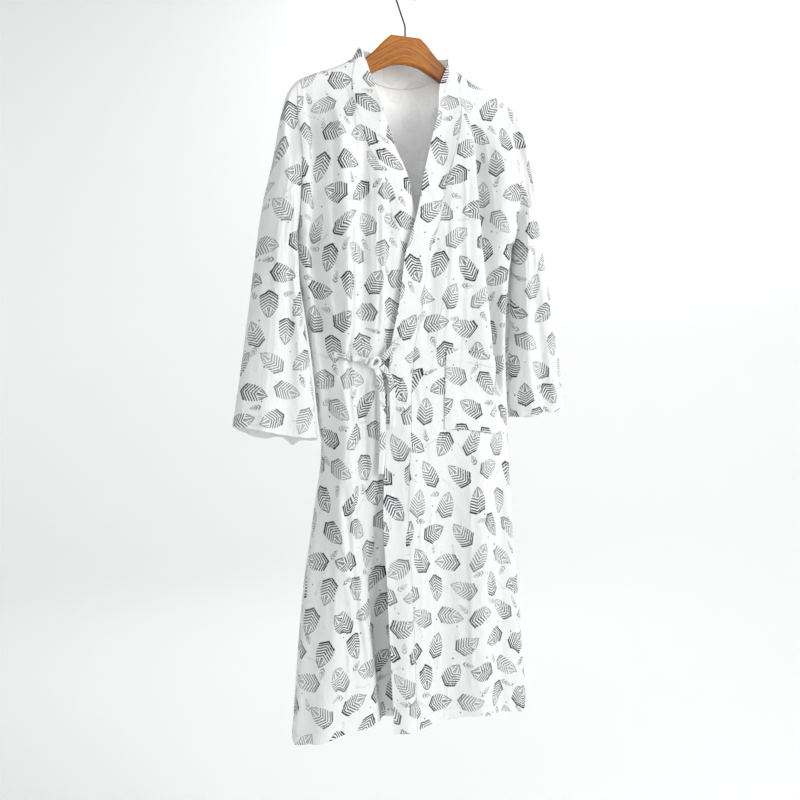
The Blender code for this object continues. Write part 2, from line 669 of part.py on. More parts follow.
def hanger(group, wood, wire, cutters):
    right = [(across, top) for across, top, low in WOOD]
    right += [(across, low) for across, top, low in WOOD[::-1]]
    left = [(-x, z) for x, z in right[::-1] if x > 0.0]
    outline = right + left
    count = len(outline)
    front = [(x, -WOOD_THICK / 2, z) for x, z in outline]
    rear = [(x, WOOD_THICK / 2, z) for x, z in outline]
    faces = [tuple(range(count)), tuple(range(2 * count - 1, count - 1, -1))]
    for k in range(count):
        n = (k + 1) % count
        faces.append((k, k + count, n + count, n))
    made = mesh_object("hanger_wood", front + rear, faces, wood, group)
    bevel = made.modifiers.new("edge", "BEVEL")
    bevel.width = WOOD_BEVEL
    bevel.segments = 2
    bevel.limit_method = "ANGLE"
    bevel.angle_limit = math.radians(50.0)
    hole_middle = HOOK_FOOT + 0.5 * HOLE_DEPTH - HOLE_SPARE
    bpy.ops.mesh.primitive_cylinder_add(vertices=16, radius=HOLE_RADIUS, depth=HOLE_DEPTH,
                                        location=(0.0, 0.0, hole_middle))
    cutter = bpy.context.object
    cutter.name = "hook_hole_cutter"
    cutter.hide_render = True
    for owner in list(cutter.users_collection):
        owner.objects.unlink(cutter)
    cutters.objects.link(cutter)
    hole = made.modifiers.new("hook hole", "BOOLEAN")
    hole.object = cutter
    hole.operation = "DIFFERENCE"
    hole.solver = "EXACT"

    centre_z = WIRE - HOOK_RADIUS
    lean = math.asin(HOOK_RADIUS / (centre_z - HOOK_BEND))
    start = math.pi + lean
    finish = math.radians(HOOK_END_DEGREES)
    path = [(0.0, 0.0, HOOK_FOOT)]
    path += [(across, 0.0, HOOK_BEND + up) for across, up in HOOK_EASE]
    for angle in np.linspace(start, finish, HOOK_POINTS):
        path.append((HOOK_RADIUS * math.cos(angle), 0.0,
                     centre_z + HOOK_RADIUS * math.sin(angle)))
    curve = bpy.data.curves.new("hanger_hook", "CURVE")
    curve.dimensions = "3D"
    curve.bevel_depth = WIRE
    curve.bevel_resolution = 2
    curve.use_fill_caps = True
    line = curve.splines.new("POLY")
    line.points.add(len(path) - 1)
    for point, place in zip(line.points, path):
        point.co = (*place, 1.0)
    hook = bpy.data.objects.new("hanger_hook", curve)
    curve.materials.append(wire)
    group.objects.link(hook)


def ahead(x, z, off):
    spots = x + np.array((-TIE_FEEL, 0.0, TIE_FEEL))
    heights = np.full(3, z)
    nearest = min(under_front(spots, heights).min(), over_front(spots, heights).min())
    return (x, float(nearest) - off, z)


def off_side(x, z, off):
    spots = x + np.array((-SIDE_FEEL, 0.0, SIDE_FEEL))
    depth = under_front(spots, np.full(3, z))
    slope = float(depth[2] - depth[0]) / (2.0 * SIDE_FEEL)
    size = math.sqrt(1.0 + slope * slope)
    return (x + off * slope / size, float(depth[1]) - off / size, z)


def ties(group, cloth):
    knot_x, knot_z = KNOT
    deep = KNOT_SIZE[1]
    knot_y = ahead(knot_x, knot_z, deep / 2 + KNOT_OFF)[1]
    bpy.ops.mesh.primitive_uv_sphere_add(segments=14, ring_count=8, radius=0.5,
                                         location=(knot_x, knot_y, knot_z))
    lump = bpy.context.object
    lump.scale = KNOT_SIZE
    bpy.ops.object.transform_apply(location=False, rotation=False, scale=True)
    lump.name = "tie_knot"
    lump.data.name = "tie_knot"
    lump.data.materials.append(cloth)
    for polygon in lump.data.polygons:
        polygon.use_smooth = True
    for owner in list(lump.users_collection):
        owner.objects.unlink(lump)
    group.objects.link(lump)

    for name, way, rows in (
            ("side_tie", (0.0, 0.0, 1.0), SIDE_TIE),
            ("front_tie", (0.3, 0.0, 1.0), FRONT_TIE),
            ("tie_end_short", (1.0, 0.0, 0.2), SHORT_END),
            ("tie_end_long", (1.0, 0.0, 0.0), LONG_END)):
        place = off_side if name == "side_tie" else ahead
        path = []
        for row in rows:
            spot = dict(zip(TIE_COLUMNS, row))
            path.append(place(spot["across"], spot["height"], spot["off"]))
        ribbon(name, path, TIE_WIDTH, way, group, cloth)


def main():
    for old in list(bpy.data.objects):
        bpy.data.objects.remove(old, do_unlink=True)
    group = bpy.data.collections.new("kimono_robe")
    cutters = bpy.data.collections.new("cutters")
    bpy.context.scene.collection.children.link(group)
    bpy.context.scene.collection.children.link(cutters)
    cloth = material("printed_cotton", (0.86, 0.87, 0.87), 0.85)
    tape = material("cotton_tape", (0.88, 0.88, 0.87), 0.85)
    wood = material("varnished_wood", (0.36, 0.16, 0.06), 0.35)
    wire = material("dark_wire", (0.03, 0.03, 0.03), 0.4, 0.9)
    back_panel(group, cloth)
    front_panel("right_front", False, group, cloth)
    left = front_panel("left_front", True, group, cloth)
    sleeve("right_sleeve", RIGHT_SLEEVE, RIGHT_SLEEVE_FOLDS, "left", group, cloth)
    sleeve("left_sleeve", LEFT_SLEEVE, LEFT_SLEEVE_FOLDS, "right", group, cloth)
    collar_band(group, cloth)
    pocket(left, group, cloth)
    ties(group, tape)
    hanger(group, wood, wire, cutters)


main()
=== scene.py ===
"""Kimono robe on a wooden hanger: cloth, leaf print, sewing, wood and wire.

Metres. The origin is the inside top of the wire hook, +Z up, +X to the
viewer's right, and the front of the robe faces -Y.
"""

import math

import bpy
import numpy as np
from bpy.props import FloatProperty, FloatVectorProperty, PointerProperty
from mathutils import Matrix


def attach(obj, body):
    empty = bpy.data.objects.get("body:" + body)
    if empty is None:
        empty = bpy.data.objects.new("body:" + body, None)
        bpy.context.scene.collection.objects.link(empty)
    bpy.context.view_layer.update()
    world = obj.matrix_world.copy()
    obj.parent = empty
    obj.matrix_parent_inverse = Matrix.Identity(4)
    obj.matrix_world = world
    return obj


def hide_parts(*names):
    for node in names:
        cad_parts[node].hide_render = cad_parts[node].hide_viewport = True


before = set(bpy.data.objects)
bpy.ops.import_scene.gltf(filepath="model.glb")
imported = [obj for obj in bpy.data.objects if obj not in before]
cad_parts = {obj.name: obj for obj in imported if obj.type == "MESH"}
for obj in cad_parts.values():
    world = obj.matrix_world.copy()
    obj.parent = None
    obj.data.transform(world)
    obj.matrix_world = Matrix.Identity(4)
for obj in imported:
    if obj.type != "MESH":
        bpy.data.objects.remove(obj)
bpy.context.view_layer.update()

bl_info = {
    "name": "Kimono robe on a hanger",
    "version": (1, 0, 0),
    "blender": (4, 5, 0),
    "location": "3D View > Sidebar > Robe",
    "description": "Builds a printed cotton kimono robe on its wooden hanger",
    "category": "Object",
}

ROWS = 190
FRONT_FINE = 130
BACK_FINE = 140
SLEEVE_FINE_ROUND = 112
SLEEVE_FINE_RINGS = 96
BAND_ACROSS = 13

CLOTH = 0.0016
BAND_CLOTH = 0.0022
TIE_CLOTH = 0.0016
SEAM = 0.0004
SEAM_AT_NECK = 0.0006
BAND_SEAM = 0.0005
NECK = 0.101
NECK_BACK = 0.052
NECK_DIP = 0.029
BAND_TOP = 0.0885
BAND_BACK = 0.040
BAND_RISE = 0.0235
BAND_WIDTH = 0.045
BAND_CLEAR = 0.0112
BAND_TURN = 0.010
BAND_RISE_FADE = 0.070
RIM_DIP = 0.004
RIM_WAVE = 0.005
NECK_BLEND_LOW = -0.235
NECK_BLEND = 0.075
SLOPE_STEP = 0.005
ARMHOLE_LOW = -0.475
ARMHOLE_DEPTH = 0.042
SHOULDER_LIFT = 0.0038
NECK_LIFT = 0.0040
NECK_LIFT_WIDTH = 0.018
TIP_SLOPE = 0.55
SHOULDER_ROUND = 0.0104
SHOULDER_FALL = 0.15
ROUND_END = 0.05
ROUND_FADE = 0.15
SIDE_FADE = 0.14
NECK_SETTLE = 0.10
SIDE_POWER = 0.36
HEM = -1.372
UNDER_HEM_RISE = 0.018
OVER_HEM_RISE = 0.010
UNDER_DROP = 0.0100
UNDER_LAP = 0.030
UNDER_LAP_FADE = 0.028
LAP_TOP = -0.33
LAP_FADE = 0.10
FRONT_COLUMNS = 22
FRONT_CROWDING = 1.25
SLEEVE_FLATNESS = 0.80
SLEEVE_BLEND = 0.28
SLEEVE_FOLD_FADE = 0.25
CUFF_LEVEL = 0.2
CLOTH_DROP = 1.21
SHOULDER_DROPS = (0.0, 0.0006, 0.0015, 0.003, 0.005, 0.0078, 0.011, 0.0148, 0.0195)

BODY_COLUMNS = ("height", "left", "right", "middle", "front", "back")
BODY = (
    (-0.150, -0.205, 0.2155, 0.000, 0.045, 0.040),
    (-0.300, -0.205, 0.2155, 0.000, 0.050, 0.046),
    (-0.400, -0.205, 0.2155, 0.000, 0.055, 0.052),
    (-0.475, -0.205, 0.2155, 0.000, 0.058, 0.056),
    (-0.530, -0.2015, 0.2085, 0.000, 0.060, 0.057),
    (-0.610, -0.1890, 0.2025, 0.000, 0.058, 0.056),
    (-0.700, -0.1755, 0.2000, 0.000, 0.050, 0.052),
    (-0.800, -0.1645, 0.2060, 0.000, 0.050, 0.056),
    (-0.850, -0.1585, 0.2085, -0.001, 0.049, 0.059),
    (-0.960, -0.1720, 0.2145, -0.002, 0.047, 0.066),
    (-1.120, -0.195, 0.2290, -0.005, 0.038, 0.080),
    (-1.372, -0.215, 0.2515, -0.008, 0.026, 0.094),
)

EDGE_COLUMNS = ("height", "over", "under")
EDGES = (
    (-0.130, 0.0850, -0.0900),
    (-0.150, 0.0790, -0.0820),
    (-0.189, 0.0625, -0.0680),
    (-0.250, 0.0445, -0.0580),
    (-0.311, 0.0285, -0.0400),
    (-0.362, 0.0155, -0.0160),
    (-0.425, 0.0035, 0.0000),
    (-0.516, -0.0235, 0.0300),
    (-0.587, -0.0325, 0.0480),
    (-0.675, -0.0465, 0.0600),
    (-0.834, -0.0555, 0.0640),
    (-0.976, -0.0595, 0.0620),
    (-1.119, -0.0495, 0.0580),
    (-1.372, -0.0345, 0.0520),
)

FOLD_COLUMNS = ("top_x", "top_z", "low_x", "low_z", "bow", "left_width",
                "right_width", "lift", "fade_in", "fade_out", "spread")
RIGHT_FOLDS = (
    (-0.184, -0.23, -0.166, -0.84, 0.000, 0.014, 0.014, -0.020, 0.10, 0.10, 1.0),
    (-0.143, -0.19, -0.128, -0.69, 0.000, 0.013, 0.020, 0.016, 0.10, 0.05, 1.0),
    (-0.095, -0.24, -0.096, -0.68, 0.000, 0.008, 0.018, -0.012, 0.10, 0.06, 1.0),
    (-0.070, -0.30, -0.072, -0.67, 0.000, 0.014, 0.012, 0.007, 0.08, 0.08, 1.0),
    (-0.047, -0.36, -0.050, -0.67, 0.000, 0.008, 0.014, -0.008, 0.08, 0.08, 1.0),
    (-0.128, -0.71, -0.170, -1.372, 0.008, 0.020, 0.028, 0.020, 0.12, 0.00, 1.5),
    (-0.098, -0.71, -0.092, -1.10, 0.000, 0.010, 0.016, -0.014, 0.06, 0.25, 1.3),
)
DEEP_FOLDS = (
    (-0.106, -0.86, -0.034, -1.372, 0.000, 0.012, 0.070, -0.040, 0.42, 0.00, 1.6),
)
LEFT_FOLDS = (
    (0.098, -0.17, 0.172, -0.78, -0.014, 0.034, 0.010, 0.016, 0.10, 0.10, 1.0),
    (0.132, -0.20, 0.198, -0.80, -0.014, 0.011, 0.024, -0.040, 0.12, 0.10, 1.0),
    (0.074, -0.26, 0.058, -0.68, 0.000, 0.012, 0.015, 0.006, 0.08, 0.08, 1.0),
    (0.036, -0.44, 0.018, -0.70, 0.000, 0.010, 0.012, -0.006, 0.06, 0.06, 1.0),
    (0.062, -0.74, 0.074, -1.60, 0.000, 0.024, 0.030, -0.014, 0.45, 0.00, 1.3),
    (0.128, -0.76, 0.146, -1.60, 0.000, 0.024, 0.026, 0.012, 0.15, 0.00, 1.2),
    (0.178, -0.84, 0.200, -1.60, 0.000, 0.014, 0.016, -0.010, 0.15, 0.00, 1.2),
    (-0.016, -0.72, -0.006, -1.60, 0.000, 0.020, 0.024, 0.008, 0.10, 0.00, 1.0),
)
BACK_FOLDS = (
    (-0.168, -0.24, -0.156, -1.60, 0.000, 0.020, 0.016, 0.016, 0.10, 0.00, 1.2),
    (-0.118, -0.26, -0.104, -1.60, 0.006, 0.014, 0.020, -0.018, 0.12, 0.00, 1.2),
    (-0.055, -0.38, -0.052, -1.60, 0.000, 0.022, 0.016, 0.012, 0.20, 0.00, 1.2),
    (0.010, -0.44, 0.014, -1.60, 0.005, 0.020, 0.024, -0.012, 0.20, 0.00, 1.2),
    (0.074, -0.34, 0.082, -1.60, 0.000, 0.016, 0.022, 0.014, 0.20, 0.00, 1.2),
    (0.126, -0.26, 0.138, -1.60, -0.005, 0.020, 0.014, -0.018, 0.12, 0.00, 1.2),
    (0.178, -0.24, 0.194, -1.60, 0.000, 0.018, 0.018, 0.015, 0.10, 0.00, 1.2),
)

SLEEVE_COLUMNS = ("along", "outer_x", "outer_z", "inner_x", "inner_z", "depth",
                  "back_drop")
RIGHT_SLEEVE = (
    (0.06, -0.2195, -0.228, -0.2085, -0.492, 0.050, 0.000),
    (0.15, -0.2310, -0.270, -0.2085, -0.515, 0.050, 0.000),
    (0.28, -0.2425, -0.335, -0.2060, -0.548, 0.049, 0.001),
    (0.42, -0.2655, -0.434, -0.1990, -0.600, 0.047, 0.002),
    (0.56, -0.2780, -0.520, -0.1900, -0.655, 0.044, 0.004),
    (0.70, -0.2885, -0.600, -0.1820, -0.710, 0.041, 0.006),
    (0.85, -0.3030, -0.705, -0.1745, -0.772, 0.038, 0.008),
    (1.00, -0.3185, -0.808, -0.1680, -0.832, 0.036, 0.010),
)
LEFT_SLEEVE = (
    (0.06, 0.2265, -0.230, 0.2185, -0.492, 0.050, 0.000),
    (0.15, 0.2370, -0.262, 0.2185, -0.515, 0.050, 0.000),
    (0.28, 0.2490, -0.325, 0.2180, -0.548, 0.049, 0.001),
    (0.42, 0.2655, -0.410, 0.2165, -0.600, 0.047, 0.002),
    (0.56, 0.2815, -0.497, 0.2150, -0.652, 0.044, 0.004),
    (0.70, 0.2980, -0.575, 0.2140, -0.700, 0.041, 0.005),
    (0.85, 0.3165, -0.675, 0.2150, -0.752, 0.038, 0.006),
    (1.00, 0.3315, -0.785, 0.2185, -0.800, 0.036, 0.008),
)
SLEEVE_FOLD_COLUMNS = ("top_place", "low_place", "width", "lift", "start")
RIGHT_SLEEVE_FOLDS = (
    (0.45, 0.40, 0.22, 0.006, 0.25),
    (-0.10, -0.15, 0.20, -0.007, 0.30),
    (-0.60, -0.62, 0.18, 0.006, 0.35),
)
LEFT_SLEEVE_FOLDS = (
    (0.50, 0.45, 0.20, 0.006, 0.25),
    (0.00, 0.05, 0.22, -0.007, 0.30),
    (-0.55, -0.50, 0.18, 0.006, 0.35),
)

WOOD_COLUMNS = ("across", "top")
WOOD = (
    (0.0000, -0.1040), (0.0140, -0.1040), (0.0285, -0.1042),
    (0.0400, -0.1140), (0.0520, -0.1270), (0.0660, -0.1415),
    (0.0800, -0.1530), (0.1000, -0.1625), (0.1200, -0.1715),
    (0.1425, -0.1810), (0.1650, -0.1903), (0.1950, -0.2045),
    (0.2040, -0.2110),
)
WOOD_TIP = 0.2040

POCKET_DROPS = (0.504, 0.654)
POCKET_SIDES = (5.5, 15.4)
POCKET_OFF = 0.0007
POCKET_SAG = 0.0035
POCKET_LOOSE = 0.0009
POCKET_ACROSS = 64
POCKET_DOWN = 60
POCKET_ROWS = (0.14, 0.985)
POCKET_EDGES = (0.015, 0.985)

TIE_WIDTH = 0.011
TIE_ACROSS = 13
TIE_ALONG = 60
TIE_ROLL = 0.00054
TIE_CROWN = 0.0004
TIE_RIPPLE = 0.0006
TIE_FEEL = 0.006
SIDE_FEEL = 0.004
KNOT = (-0.0770, -0.697)
KNOT_SIZE = (0.022, 0.013, 0.016)
# Each row of a tie is a point: x, height and how far off the cloth.
SIDE_TIE = ((-0.1460, -0.684, 0.0050), (-0.1390, -0.685, 0.0052), (-0.1310, -0.686, 0.0052),
            (-0.1220, -0.688, 0.0050), (-0.1120, -0.690, 0.0048), (-0.1010, -0.692, 0.0062),
            (-0.0900, -0.696, 0.0100))
FRONT_TIE = ((-0.0655, -0.692, 0.0080), (-0.0570, -0.684, 0.0080), (-0.0480, -0.675, 0.0060),
             (-0.0380, -0.665, 0.0038), (-0.0280, -0.656, 0.0031))
SHORT_END = ((-0.0650, -0.703, 0.0092), (-0.0555, -0.714, 0.0092), (-0.0480, -0.728, 0.0072),
             (-0.0450, -0.750, 0.0050), (-0.0440, -0.780, 0.0036), (-0.0440, -0.812, 0.0027))
LONG_END = ((-0.0740, -0.7068, 0.0070), (-0.0690, -0.724, 0.0070), (-0.0640, -0.750, 0.0060),
            (-0.0620, -0.790, 0.0055), (-0.0620, -0.840, 0.0040), (-0.0640, -0.895, 0.0027))


CREASE_COLUMNS = ("start_x", "start_z", "end_x", "end_z", "bend", "width", "lift")
RIGHT_CREASES = (
    (-0.150, -0.250, -0.146, -0.660, 0.003, 0.0040, -0.0030),
    (-0.116, -0.210, -0.104, -0.640, -0.004, 0.0035, -0.0028),
    (-0.083, -0.260, -0.081, -0.640, 0.003, 0.0034, 0.0026),
    (-0.060, -0.330, -0.062, -0.660, -0.002, 0.0030, -0.0024),
    (-0.165, -0.560, -0.120, -0.688, 0.004, 0.0040, 0.0030),
    (-0.150, -0.640, -0.090, -0.692, 0.003, 0.0035, -0.0026),
    (-0.148, -0.700, -0.120, -0.830, -0.004, 0.0040, 0.0026),
    (-0.118, -0.700, -0.100, -0.880, 0.004, 0.0036, 0.0030),
    (-0.090, -0.705, -0.084, -0.960, 0.000, 0.0040, -0.0026),
    (-0.140, -0.780, -0.160, -1.200, 0.004, 0.0045, -0.0026),
    (-0.120, -0.860, -0.130, -1.360, -0.005, 0.0050, 0.0028),
    (-0.080, -0.900, -0.060, -1.340, 0.004, 0.0045, -0.0024),
    (-0.136, -0.905, -0.076, -1.310, 0.005, 0.0050, -0.0062),
    (-0.149, -0.905, -0.090, -1.330, 0.005, 0.0065, 0.0048),
    (-0.119, -0.400, -0.119, -0.840, 0.000, 0.0042, -0.0050),
    (-0.130, -0.400, -0.131, -0.840, 0.000, 0.0060, 0.0036),
    (-0.071, -0.400, -0.071, -0.680, 0.000, 0.0038, -0.0042),
    (-0.152, -0.440, -0.150, -0.690, 0.000, 0.0110, 0.0045),
    (-0.189, -0.215, -0.180, -0.640, 0.000, 0.0060, -0.0070),
)
LEFT_CREASES = (
    (0.118, -0.210, 0.150, -0.560, -0.004, 0.0036, -0.0026),
    (0.150, -0.240, 0.172, -0.470, 0.003, 0.0034, 0.0024),
    (0.092, -0.320, 0.104, -0.640, 0.003, 0.0040, 0.0024),
    (0.060, -0.420, 0.052, -0.660, -0.003, 0.0032, -0.0022),
    (-0.020, -0.660, 0.050, -0.610, -0.003, 0.0040, 0.0024),
    (-0.010, -0.676, 0.070, -0.680, 0.003, 0.0040, -0.0022),
    (0.000, -0.700, 0.030, -0.860, 0.003, 0.0040, 0.0024),
    (0.180, -0.560, 0.192, -0.780, 0.003, 0.0040, -0.0024),
    (0.044, -0.900, 0.050, -1.340, 0.004, 0.0048, -0.0024),
    (0.106, -0.880, 0.118, -1.350, -0.003, 0.0050, 0.0024),
    (0.160, -0.900, 0.172, -1.350, 0.003, 0.0046, -0.0026),
    (0.010, -0.950, 0.016, -1.330, -0.003, 0.0045, 0.0022),
)

# The last wave of the crinkle is turned into narrow ridges.
CRINKLE_COLUMNS = ("lean_x", "lean_z", "cell_x", "cell_z", "share")
CRINKLE = (
    (0.03, 0.00, 0.026, 0.240, 1.10),
    (0.22, 0.00, 0.013, 0.055, 0.60),
    (0.00, 0.35, 0.050, 0.021, 0.35),
    (-0.10, 0.00, 0.024, 0.130, 1.00),
)
RIDGE_SHARE = 1.1
OVER = (LEFT_FOLDS, LEFT_CREASES, 11)
UNDER = (RIGHT_FOLDS, RIGHT_CREASES, 31)

HEM_WAVE = 0.0025
CUFF_POINTS = {"left": ((-0.51, 0.13, 0.011), (0.30, 0.30, 0.003)),
               "right": ((0.10, 0.25, 0.004),)}
HEM_TURN = 0.022
HEM_STITCH = 0.0205
TURN_EDGE = 0.0006
THREAD_PITCH = 0.0011
SPECK_PITCH = 0.034
SPECK_CHANCE = 0.42
SPECK_TONE = 0.75
LEAF_BELLY = 0.12
TIP_FADE = 0.30
TONE_SPREAD = 0.42
TONE_LEAST = 0.70
INK_SPREAD = 0.36
INK_LEAST = 0.74
INSIDE_INK = 0.13
# How much brighter the inside's ground is made: painted light.
INSIDE_PAINTED_LIGHT = 1.17
TIE_INK = 0.85
BAND_STITCH = 0.955
STITCH_LIFT = 0.00005
STITCH_LENGTH = 0.0026
STITCH_REACH = 0.0015
STITCH_THICK = 0.0005
KNOT_TUBE = 0.0030

SMOOTH_ANGLE = 62.0

MOTIF_COLUMNS = ("pitch_u", "pitch_v", "shift_u", "shift_v", "half_length", "width",
                 "slope", "strokes", "heavy", "fine", "tip", "fan", "tone", "chance",
                 "play", "wobble", "seed")
MOTIF_SIZES = ("pitch_u", "pitch_v", "shift_u", "shift_v", "half_length", "play")
MOTIFS = (
    (0.062, 0.054, 0.000, 0.000, 0.0270, 0.60, 0.70, 5.0, 0.78, 0.52, 0.20, 3.9,
     1.00, 1.00, 0.007, 0.12, 3.0),
    (0.062, 0.054, 0.031, 0.018, 0.0115, 0.42, 0.90, 2.0, 0.60, 0.45, -0.30, 3.0,
     0.65, 0.55, 0.012, 0.16, 11.0),
    (0.081, 0.069, 0.020, 0.037, 0.0165, 0.15, 1.70, 3.4, 0.42, 0.30, 0.60, 4.0,
     0.45, 0.75, 0.020, 0.14, 17.0),
)

RIGHT_FRONT_AREA = 0.265
LEFT_FRONT_AREA = 0.290
RIGHT_SLEEVE_AREA = 0.152
LEFT_SLEEVE_AREA = 0.138

ROOM_RADIUS = 5.2
ROOM_HEIGHT = 6.0
ROOM_FLOOR = -1.90
ROOM_SWEEP = 1.4
LOOK_AT = (-0.0175, -0.02, -0.765)
CAMERA_TURN = -21.0
CAMERA_LIFT = 1.8
CAMERA_AWAY = 1.70
CAMERA_LENS = 42.075
CAMERA_SENSOR = 36.0
LIGHTS = (
    ("key_light", (1.7, -2.2, 0.4), (0.0, 0.0, -0.75), (1.3, 2.2), 1.0),
    ("fill_light", (-1.5, -2.6, 0.5), (0.0, 0.0, -0.75), (2.0, 2.0), 0.30),
    ("back_light", (0.6, 2.4, 0.8), (0.0, 0.0, -0.75), (2.2, 2.2), 0.30),
    ("wall_light", (2.2, 2.6, 2.4), (3.2, 4.1, -0.4), (3.0, 1.5), 0.85),
)


def ease(value):
    """A soft step from 0 to 1."""
    value = np.clip(value, 0.0, 1.0)
    return value * value * (3.0 - 2.0 * value)


def read(table, columns, name, at):
    """A named column of a table at a place, on a line that never overshoots."""
    rows = np.array(table, float)
    rows = rows[np.argsort(rows[:, 0])]
    xs = rows[:, 0]
    ys = rows[:, columns.index(name)]
    steps = np.diff(xs)
    rates = np.diff(ys) / steps
    slopes = np.zeros(len(xs))
    slopes[0] = rates[0]
    slopes[-1] = rates[-1]
    same = rates[:-1] * rates[1:] > 0.0
    total = np.where(same, rates[:-1] + rates[1:], 1.0)
    slopes[1:-1] = np.where(same, 2.0 * rates[:-1] * rates[1:] / total, 0.0)
    at = np.clip(np.asarray(at, float), xs[0], xs[-1])
    place = np.clip(np.searchsorted(xs, at, side="right") - 1, 0, len(steps) - 1)
    step = steps[place]
    part = (at - xs[place]) / step
    squared = part * part
    cubed = squared * part
    return ((2.0 * cubed - 3.0 * squared + 1.0) * ys[place]
            + (cubed - 2.0 * squared + part) * step * slopes[place]
            + (3.0 * squared - 2.0 * cubed) * ys[place + 1]
            + (cubed - squared) * step * slopes[place + 1])


def body(name, height):
    """One side line or depth of the body at a height."""
    return read(BODY, BODY_COLUMNS, name, height)


def edge(name, height):
    """The free edge of a front at a height."""
    return read(EDGES, EDGE_COLUMNS, name, height)


def seam_line(name, height):
    """Where the neck band is sewn to a front panel, as x for each height."""
    edge_x = edge(name, height)
    above = edge(name, height + SLOPE_STEP)
    slope = (above - edge(name, height - SLOPE_STEP)) / (2.0 * SLOPE_STEP)
    width = BAND_WIDTH * np.sqrt(1.0 + slope * slope)
    neck = ease((height - NECK_BLEND_LOW) / NECK_BLEND)
    if name == "over":
        return (edge_x + width) * (1.0 - neck) + NECK * neck
    return (edge_x - width) * (1.0 - neck) - NECK * neck


def shoulder(across):
    """The height of the cloth over the hanger."""
    wide = np.abs(across)
    top = read(WOOD, WOOD_COLUMNS, "top", np.minimum(wide, WOOD_TIP))
    past = np.maximum(wide - WOOD_TIP, 0.0)
    near_neck = np.exp(-((wide - NECK) / NECK_LIFT_WIDTH) ** 2)
    return top + SHOULDER_LIFT + NECK_LIFT * near_neck - TIP_SLOPE * past


def folds(table, across, height, side):
    """The large folds of a table, outwards in metres."""
    total = np.zeros(np.broadcast(across, height).shape)
    for row in table:
        fold = dict(zip(FOLD_COLUMNS, row))
        run = fold["low_x"] - fold["top_x"]
        part = (fold["top_z"] - height) / (fold["top_z"] - fold["low_z"])
        middle = fold["top_x"] + run * part + 4.0 * fold["bow"] * part * (1.0 - part)
        grow = 1.0 + (fold["spread"] - 1.0) * np.clip(part, 0.0, 1.0)
        off = across - middle
        width = np.where(off < 0.0, fold["left_width"], fold["right_width"]) * grow
        amount = ease((fold["top_z"] - height) / fold["fade_in"])
        if fold["fade_out"] > 0.0:
            amount = amount * ease((height - fold["low_z"]) / fold["fade_out"])
        total = total + fold["lift"] * amount * np.exp(-(off / width) ** 2)
    return total * side


def section(across, height, depth_name):
    """How far the smooth cloth stands out, and how free of the side seam it is."""
    left = body("left", height)
    right = body("right", height)
    turn = (2.0 * across - left - right) / (right - left)
    turn = np.clip(turn, -1.0, 1.0)
    rounding = (1.0 - turn * turn) ** SIDE_POWER
    armhole_top = shoulder(np.where(across < 0.0, left, right))
    middle = 0.5 * (armhole_top + ARMHOLE_LOW)
    half = 0.5 * (armhole_top - ARMHOLE_LOW)
    gap = ARMHOLE_DEPTH * np.sqrt(np.clip(1.0 - ((height - middle) / half) ** 2, 0.0, 1.0))
    full = gap + (body(depth_name, height) - gap) * rounding
    drop = np.maximum(shoulder(across) - height, 0.0)
    level = np.clip(drop / SHOULDER_ROUND, 0.0, 1.0)
    over_arm = SHOULDER_ROUND * np.sqrt(1.0 - (1.0 - level) ** 2)
    over_arm = over_arm * (1.0 - ease((drop - ROUND_END) / ROUND_FADE))
    falling = full * ease(drop / SHOULDER_FALL)
    depth = (over_arm ** 4 + falling ** 4) ** 0.25
    side = ease((1.0 - np.abs(turn)) / SIDE_FADE)
    return depth, side


def grain(across, along, cell_across, cell_along, seed):
    """Smooth uneven heights from -1 to 1, the same each time for a seed."""
    heights = np.random.RandomState(seed).rand(64, 64) * 2.0 - 1.0
    column = np.asarray(across / cell_across, float)
    row = np.asarray(along / cell_along, float)
    column, row = np.broadcast_arrays(column, row)
    i = np.floor(column).astype(int)
    j = np.floor(row).astype(int)
    p = column - i
    q = row - j
    p = p * p * p * (p * (6.0 * p - 15.0) + 10.0)
    q = q * q * q * (q * (6.0 * q - 15.0) + 10.0)
    near = heights[i % 64, j % 64] * (1.0 - p) + heights[(i + 1) % 64, j % 64] * p
    far = (heights[i % 64, (j + 1) % 64] * (1.0 - p)
           + heights[(i + 1) % 64, (j + 1) % 64] * p)
    return near * (1.0 - q) + far * q


def crinkle(across, height, seed, side, ruffle):
    """The small soft creases of washed gauze, outwards in metres."""
    drop = np.maximum(shoulder(across) - height, 0.0)
    free = side * ease((drop - 0.012) / 0.06)
    waves = []
    for number, row in enumerate(CRINKLE):
        wave = dict(zip(CRINKLE_COLUMNS, row))
        waves.append(grain(across + wave["lean_x"] * height, height + wave["lean_z"] * across,
                           wave["cell_x"], wave["cell_z"], seed + number) * wave["share"])
    ridge = 1.0 - np.abs(waves.pop()) * 3.0
    ridge = np.clip(ridge, 0.0, 1.0) ** 2
    ridge = ridge * ease(grain(across, height, 0.06, 0.11, seed + 4) * 1.5 + 0.4)
    return ruffle * free * (sum(waves) + RIDGE_SHARE * ridge)


def creases(table, across, height):
    """Creases that run from one point to another, outwards in metres."""
    total = np.zeros(np.broadcast(across, height).shape)
    for row in table:
        line = dict(zip(CREASE_COLUMNS, row))
        run_x = line["end_x"] - line["start_x"]
        run_z = line["end_z"] - line["start_z"]
        size = run_x * run_x + run_z * run_z
        part = ((across - line["start_x"]) * run_x
                + (height - line["start_z"]) * run_z) / size
        off = ((across - line["start_x"]) * run_z
               - (height - line["start_z"]) * run_x) / math.sqrt(size)
        bend = line["bend"] * 4.0 * part * (1.0 - part)
        ends = ease((part + 0.08) / 0.3) * ease((1.08 - part) / 0.4)
        total = total + line["lift"] * ends * np.exp(-((off - bend) / line["width"]) ** 2)
    return total


